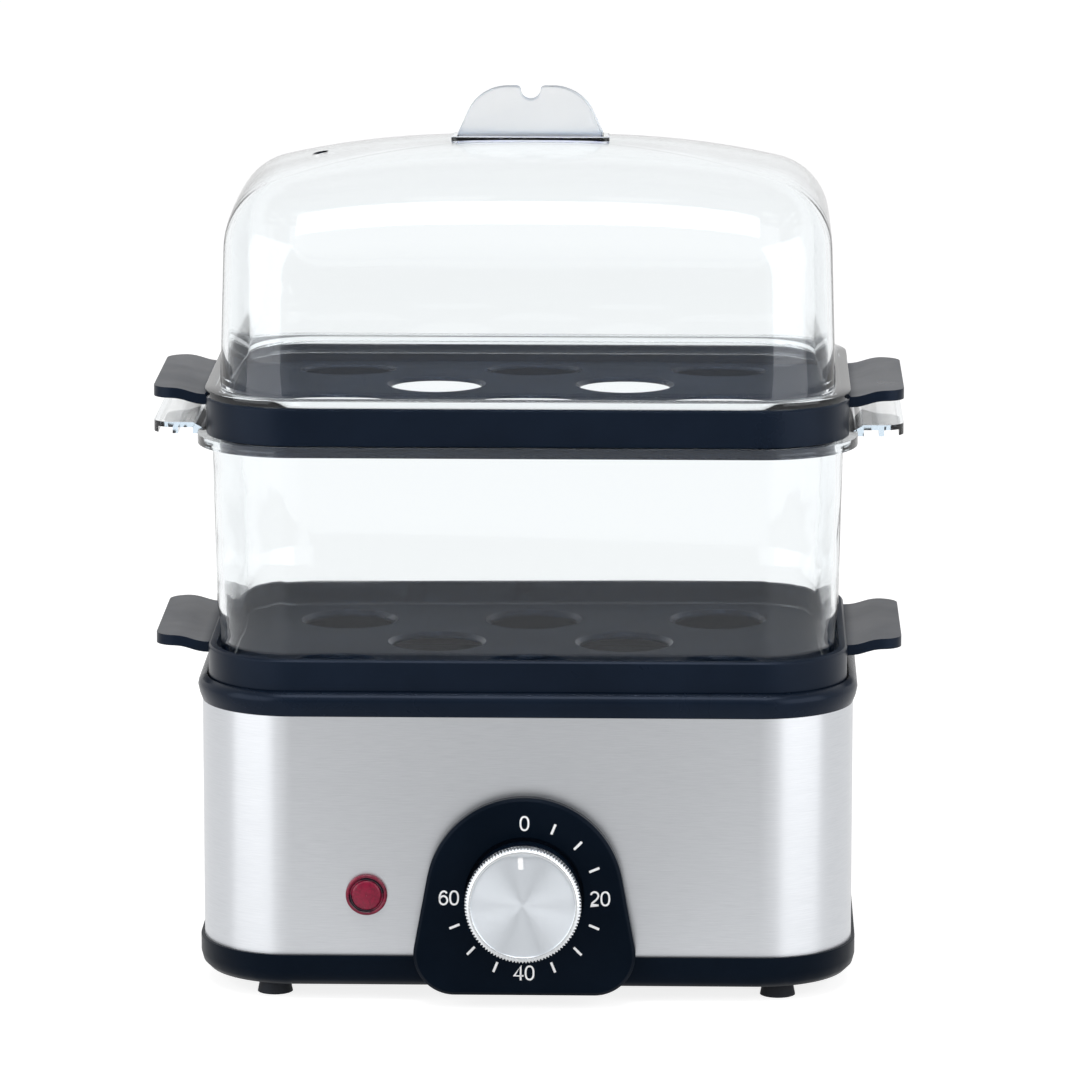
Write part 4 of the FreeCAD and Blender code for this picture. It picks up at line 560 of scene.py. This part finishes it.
def numeral_paths():
    """Centre lines of plain numerals, as (points, closed), round their own middle."""
    top = 1.95
    two = oval(0, 0.86, 1.1, 1.09, 168, -12, 18)
    two += [(0.88, 0.2), (0.35, -0.45), (-0.75, -1.35), (-1.1, -top), (1.18, -top)]
    six = [(-1.1, -0.72), (-1.1, 0.15), (-0.98, 0.85), (-0.68, 1.45), (-0.2, 1.84), (0.3, 1.9),
           (0.72, 1.72), (0.98, 1.3)]
    return {
        "0": [(oval(0, 0, 1.16, top, square=2.35), True)],
        "2": [(two, False)],
        "4": [([(0.52, -top - 0.25), (0.52, top), (-1.35, -0.88), (1.36, -0.88)], False)],
        "6": [(oval(0.02, -0.72, 1.12, 1.23), True), (six, False)],
    }


def make_dial_print(ink):
    """Generic minute marks and plain numbers, printed on the bezel's face."""
    reach, stroke, pitch, drop = 22.0, 0.54, 3.12, 0.45
    low, high = 0.0, 0.03
    printed = DIAL @ Matrix.Translation(Vector((0, -drop, 0)) * MM)
    marks = [flat_prism(bar(0.36, 1.6, reach, math.radians(90 * quarter + 22.5 * k)), low, high)
             for quarter in range(3) for k in (1, 2, 3)]
    new_piece("dial_marks", *joined(marks), "base", ink, printed, smooth=False)
    paths = numeral_paths()
    for word, x, y in (("0", 0, reach), ("20", reach, 0), ("40", 0, -reach), ("60", -reach, 0)):
        strokes = []
        for place, digit in enumerate(word):
            shift = x + (place - (len(word) - 1) / 2) * pitch
            strokes += [ribbon([(px + shift, py + y) for px, py in path], stroke, low, high, closed)
                        for path, closed in paths[digit]]
        new_piece(f"dial_number_{word}", *joined(strokes), "base", ink, printed, smooth=False)


def make_pointer(ink):
    """White bar on the knob's face."""
    vertices, faces = flat_prism(bar(0.75, 1.8, 12.4, math.radians(-3), 0.25), 15.9, 16.06)
    new_piece("knob_pointer", vertices, faces, "knob", ink, DIAL, smooth=False)


def make_lens():
    """Lamp lens: rounded rim on the steel, valley, domed pebbled middle, barrel behind."""
    dome, dome_level, dome_rise, hole = 4.25, 1.25, 0.6, 0.02
    profile = [(3.9, -15.0), (4.9, -15.0), (4.9, 0.0), (6.05, 0.0), (6.1, 0.05), (6.1, 0.85),
               (6.02, 1.12), (5.85, 1.32), (5.62, 1.42), (5.38, 1.4), (5.15, 1.26), (4.98, 1.05),
               (4.85, 0.9), (4.66, 0.84), (4.47, 0.92), (4.35, 1.1), (dome, dome_level)]
    for k in range(1, 10):
        a = math.pi / 2 * k / 10
        profile.append((dome * math.cos(a), dome_level + dome_rise * math.sin(a)))
    profile.append((hole, dome_level + dome_rise))
    lens = new_piece("lamp_lens_pebbled", *turned(profile, 72), "base", finishes["red_lens"], LENS)
    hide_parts("lamp_lens")


def loop(half_x, half_y, corner, arc=14, long_run=24, short_run=14):
    """Points round a rounded rectangle, always equally many."""
    points = []
    for sx, sy, start, run, dx, dy in ((1, 1, 0, long_run, -1, 0), (-1, 1, 90, short_run, 0, -1),
                                       (-1, -1, 180, long_run, 1, 0), (1, -1, 270, short_run, 0, 1)):
        cx, cy = sx * (half_x - corner), sy * (half_y - corner)
        for k in range(arc + 1):
            a = math.radians(start + 90 * k / arc)
            points.append((cx + corner * math.cos(a), cy + corner * math.sin(a)))
        length = 2 * (half_x - corner if dx else half_y - corner)
        ex, ey = points[-1]
        points += [(ex + dx * length * k / run, ey + dy * length * k / run) for k in range(1, run)]
    return points


def crown(x, y):
    """Height of the lid's gently domed top."""
    along = abs(x / (RIM_X - CROWN_EDGE))
    across = abs(y / (RIM_Y - CROWN_EDGE))
    outwards = along ** CROWN_SQUARE + across ** CROWN_SQUARE
    return LID_TOP - CROWN_RISE * outwards ** (CROWN_POWER / CROWN_SQUARE)


def shoulder_curves():
    """For each point of the rim, the curve from the drafted wall up to the edge of the crown."""
    edge = loop(RIM_X - CROWN_EDGE, RIM_Y - CROWN_EDGE, CROWN_CORNER)
    pull = 0.58
    curves = []
    for k, (x, y) in enumerate(edge):
        ax, ay = edge[k - 1]
        bx, by = edge[(k + 1) % len(edge)]
        length = math.hypot(bx - ax, by - ay)
        nx, ny = (by - ay) / length, (ax - bx) / length
        edge_height = crown(x, y)
        slope = crown(x - nx, y - ny) - edge_height
        run = CROWN_EDGE - WALL_INSET + FLANGE_TOP * LID_DRAFT
        height = (edge_height - run * slope) / (1 - LID_DRAFT * slope)
        inset = WALL_INSET + (height - FLANGE_TOP) * LID_DRAFT
        span = math.hypot(CROWN_EDGE - inset, edge_height - height)
        start = Vector((inset - span * LID_DRAFT, height - span))
        bend, end = Vector((inset, height)), Vector((CROWN_EDGE, edge_height))
        curves.append((start, start.lerp(bend, pull), end.lerp(bend, pull), end))
    return edge, curves


def lid_rows():
    """Rows of points up the outside of the lid, from the foot of the wall to the crown."""
    edge, curves = shoulder_curves()
    rows, known = [], {}

    def at(inset, k):
        """Point k of the loop that lies so far inside the rim."""
        key = round(inset, 5)
        if key not in known:
            part = (inset - WALL_INSET) / (CROWN_EDGE - WALL_INSET)
            corner = WALL_CORNER + (CROWN_CORNER - WALL_CORNER) * part
            known[key] = loop(RIM_X - inset, RIM_Y - inset, corner)
        return known[key][k]

    for part in (0, 0.3, 0.6, 0.85):
        rows.append([(*at(WALL_INSET + (c[0].x - WALL_INSET) * part, k),
                      WALL_START + (c[0].y - WALL_START) * part) for k, c in enumerate(curves)])
    steps, rings = 14, 18
    for j in range(steps):
        u = j / steps
        row = []
        for k, (a, b, c, d) in enumerate(curves):
            q = (1 - u) ** 3 * a + 3 * (1 - u) ** 2 * u * b + 3 * (1 - u) * u * u * c + u ** 3 * d
            row.append((*at(q.x, k), q.y))
        rows.append(row)
    for j in range(rings):
        part = 1 - j / rings
        rows.append([(x * part, y * part, crown(x * part, y * part)) for x, y in edge])
    return rows


def lid_shell():
    """Outer skin, inner skin one wall behind it, rim flange and nesting lip."""
    def rings(places):
        """Loops so far inside the rim, at a level, with the rim's corner or their own."""
        return [[(x, y, level) for x, y in loop(RIM_X - inset, RIM_Y - inset,
                                                own[0] if own else RIM_CORNER - inset)]
                for inset, level, *own in places]

    def fan(first, tip, turn=1):
        """Faces from a row of points to one in the middle."""
        return [(first + k, first + (k + 1) % count, tip)[::turn] for k in range(count)]

    outside = lid_rows()
    count = len(outside[0])
    skinned, shapes = skin(outside)
    shapes += fan(len(skinned) - count, len(skinned))
    sheet = bpy.data.meshes.new("lid_outside")
    sheet.from_pydata(skinned + [(0, 0, LID_TOP)], [], shapes)
    inside = [tuple(v.co - v.normal * LID_WALL) for v in sheet.vertices]
    bpy.data.meshes.remove(sheet)
    rim = rings([(3.2, -LIP_DEPTH), (2.95, -2.9), (2.9, -2.6), (2.9, 0), (-0.15, 0), (-0.33, 0.07),
                 (-0.4, 0.25), (-0.4, 1.7), (-0.33, 1.95), (-0.1, FLANGE_TOP),
                 (3.2, FLANGE_TOP, 24.6), (3.75, 2.2, 24.15)])
    lip = rings([(5.75, 1.2, 22.2), (4.7, 0), (4.7, -2.8), (4.5, -LIP_DEPTH)])
    back = [inside[i * count:(i + 1) * count] for i in range(len(outside))][::-1]
    outer, outer_faces = skin(rim + outside)
    outer_faces += fan(len(outer) - count, len(outer))
    inner, inner_faces = skin(back + lip)
    inner_faces += fan(0, len(inner), -1)
    vertices, faces = joined([(outer + [(0, 0, LID_TOP)], outer_faces),
                              (inner + [(0, 0, LID_TOP - LID_WALL)], inner_faces)])
    last = len(vertices) - 1 - count
    faces += [(last + k, last + (k + 1) % count, (k + 1) % count, k) for k in range(count)]
    return vertices, faces


def fin_outline():
    """Front view of the grip: leaning sides, big rounds, thumb notch; height from the foot."""
    lean, corner, notch, notch_drop, steps = math.radians(24), 13.0, 2.9, 1.0, 14
    middle = FIN_HALF - FIN_HEIGHT * math.tan(lean) - corner / math.tan((math.pi / 2 + lean) / 2)
    right = [(FIN_HALF - up * math.tan(lean), up) for up in (0, 2, 5)]
    for k in range(steps + 1):
        a = lean + (math.pi / 2 - lean) * k / steps
        right.append((middle + corner * math.cos(a), FIN_HEIGHT - corner + corner * math.sin(a)))
    right += [(notch + out, FIN_HEIGHT - down) for out, down in ((1.3, 0), (0.75, 0.12), (0.3, 0.4))]
    for k in range(9):
        a = math.pi / 2 * k / 8
        right.append((notch * math.cos(a), FIN_HEIGHT - notch_drop - notch * math.sin(a)))
    return right + [(-x, z) for x, z in right[-2::-1]]


def fin_solid():
    """The grip: thick at the foot, thinner at the top, all edges eased."""
    outline = fin_outline()
    count = len(outline)
    foot_half, thinning = 4.5, 2.5
    rows = []
    for side, drop, inset in ((-1, 0, 0.5), (-1, 0.07, 0.25), (-1, 0.22, 0.07), (-1, 0.5, 0),
                              (1, 0.5, 0), (1, 0.22, 0.07), (1, 0.07, 0.25), (1, 0, 0.5)):
        row = []
        for k, (x, z) in enumerate(outline):
            (ax, az), (bx, bz) = outline[k - 1], outline[(k + 1) % count]
            length = math.hypot(bx - ax, bz - az)
            up = z + (bx - ax) / length * inset
            half = foot_half - thinning * up / FIN_HEIGHT - drop
            row.append((x - (bz - az) / length * inset, side * half, up + FIN_SEAT))
        rows.append(row)
    vertices, faces = skin(rows)
    faces = [face[::-1] for face in faces]
    faces += [list(range(count)), list(range(len(vertices) - count, len(vertices)))[::-1]]
    return vertices, faces


def capped(rows):
    """A solid between closed rows, going up, with flat ends."""
    vertices, faces = skin(rows)
    count, last = len(rows[0]), len(vertices) - len(rows[0])
    return vertices, faces + [list(range(count))[::-1], [last + k for k in range(count)]]


def make_lid():
    """Clear cover: smooth crown, rolled shoulder, grip fin on a low foot, oval steam vent."""
    lid = plain_solid("lid_clear", *lid_shell(), LID)
    foot = [[(x, y, z) for x, y in loop(23.3 - inset, 5.6 - inset, 1.9 - inset, 6, 20, 6)]
            for inset, z in ((0, 69.6), (0, 71.35), (0.12, 71.6), (0.4, 71.75))]
    combine(lid, [plain_solid("lid_grip", *fin_solid(), LID),
                  plain_solid("lid_grip_foot", *capped(foot), LID)], "UNION")
    hole = [[(x, y, z) for x, y in oval(VENT_X, 0, VENT_HALF_X, VENT_HALF_Y)] for z in (58, 74)]
    combine(lid, [plain_solid("lid_vent_cut", *capped(hole), LID)], "DIFFERENCE")
    frosted = see_through("frosted_grip", (0.990, 0.998, 1.0), 0.8, 8, (0.80, 0.90, 0.98))
    lid.data.materials.clear()
    lid.data.materials.append(finishes["clear_plastic"])
    lid.data.materials.append(frosted)
    for side in lid.data.polygons:
        side.material_index = int(side.center.z > FROST_START * MM)
    lid.data.shade_smooth()
    lid.data.set_sharp_from_angle(angle=math.radians(38))
    bpy.context.view_layer.update()
    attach(lid, "cover")
    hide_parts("lid")
    bush = [[(x, y, z) for x, y in oval(VENT_X, 0, VENT_HALF_X - inset, VENT_HALF_Y - inset)]
            for inset, z in ((0.02, 64.7), (0.02, 65.9), (0.4, 65.9), (0.4, 64.7))]
    new_piece("lid_vent_bush", *skin(bush, closed=True), "cover", finishes["black_gloss"], LID)


ink = white_ink()
make_knob_cap()
make_dial_print(ink)
make_pointer(ink)
make_lens()
make_lid()


# ---------------------------------------------------------------- floor, light, camera

def mirrored_light(tree, direction, far, low, high):
    """Strength that polished surfaces mirror: low straight in front, high at the sides and back."""
    axes = tree.nodes.new("ShaderNodeSeparateXYZ")
    tree.links.new(direction, axes.inputs[0])
    level = tree.nodes.new("ShaderNodeMapRange")
    level.interpolation_type = "SMOOTHSTEP"
    for name, value in (("From Min", FRONT), ("From Max", far), ("To Min", low), ("To Max", high)):
        level.inputs[name].default_value = value
    tree.links.new(axes.outputs["Y"], level.inputs["Value"])
    return level.outputs["Result"]


def floor_finish():
    """White floor that keeps the shadow and shows as white around the object."""
    s = Shader("white_floor", Roughness=0.9, Specular_IOR_Level=0.1)
    s.tint(s.noise(0.004, detail=4), (0.86, 0.86, 0.86), (0.89, 0.89, 0.89))
    s.relief(s.noise(0.4, detail=3), 0.05, 0.05)
    path = s.add("ShaderNodeLightPath")
    mirrored = mirrored_light(s.tree, s.vector("NORMALIZE", s.place()), -0.88, 0.62, 1.04)
    shown = s.surface.outputs[0]
    for seen, part, strength in (("Is Camera Ray", 0.5, 1.66), ("Is Transmission Ray", 0.6, 1.2),
                                 ("Is Glossy Ray", 0.7, mirrored)):
        white = s.add("ShaderNodeEmission")
        feed(s.tree, strength, white.inputs["Strength"])
        mix = s.add("ShaderNodeMixShader")
        s.link(s.calculate("MULTIPLY", path.outputs[seen], part), mix.inputs[0])
        s.link(shown, mix.inputs[1])
        s.link(white.outputs[0], mix.inputs[2])
        shown = mix.outputs[0]
    s.link(shown, s.output.inputs["Surface"])
    return s.material


def make_floor():
    """A wide flat floor, in metres."""
    reach = 30.0
    mesh = bpy.data.meshes.new("floor")
    mesh.from_pydata([(-reach, -reach, 0), (reach, -reach, 0), (reach, reach, 0), (-reach, reach, 0)],
                     [], [(0, 1, 2, 3)])
    mesh.materials.append(floor_finish())
    floor = bpy.data.objects.new("floor", mesh)
    bpy.context.scene.collection.objects.link(floor)


def make_world():
    """White to look at; what polished surfaces mirror is dim in front, light at the sides and back."""
    world = bpy.data.worlds.new("studio")
    world.use_nodes = True
    tree = world.node_tree
    background = tree.nodes["Background"]
    path = tree.nodes.new("ShaderNodeLightPath")
    towards = tree.nodes.new("ShaderNodeTexCoord")
    mirrored = mirrored_light(tree, towards.outputs["Generated"], -0.86, 0.40, 0.88)
    level = 0.42
    for seen, bright in (("Is Glossy Ray", mirrored), ("Is Transmission Ray", 1.0),
                         ("Is Camera Ray", 1.0)):
        choose = tree.nodes.new("ShaderNodeMix")
        tree.links.new(path.outputs[seen], choose.inputs["Factor"])
        feed(tree, level, choose.inputs["A"])
        feed(tree, bright, choose.inputs["B"])
        level = choose.outputs["Result"]
    tree.links.new(level, background.inputs["Strength"])
    background.inputs["Color"].default_value = (1, 1, 1, 1)
    bpy.context.scene.world = world


def make_lamp(name, place, aim, width, height, power):
    """A soft rectangular lamp at a place, turned to its aim."""
    data = bpy.data.lights.new(name, "AREA")
    data.shape = "RECTANGLE"
    data.size = width
    data.size_y = height
    data.energy = power
    lamp = bpy.data.objects.new(name, data)
    lamp.location = place
    lamp.rotation_euler = (Vector(aim) - Vector(place)).to_track_quat("-Z", "Y").to_euler()
    bpy.context.scene.collection.objects.link(lamp)


def make_camera():
    """Long lens in front of the object, looking slightly down."""
    data = bpy.data.cameras.new("camera")
    data.sensor_width = SENSOR
    data.lens = FOCAL_PIXELS / FRAME_PIXELS * SENSOR
    data.clip_start = 0.1
    data.clip_end = 100.0
    camera = bpy.data.objects.new("camera", data)
    camera.location = CAMERA_PLACE
    camera.rotation_euler = (math.pi / 2 - LOOK_DOWN, 0, LOOK_ACROSS)
    bpy.context.scene.collection.objects.link(camera)
    bpy.context.scene.camera = camera


make_floor()
make_world()
for name, side in (("softbox_left", -1), ("softbox_right", 1)):
    make_lamp(name, (side * 1.02, -0.72, 0.5), (0, 0, 0.12), 1.25, 1.2, 8.5)
make_lamp("softbox_top", (0, -0.55, 1.45), (0, 0, 0.1), 1.0, 0.7, 9)
make_camera()
bpy.context.scene.view_settings.view_transform = "Standard"
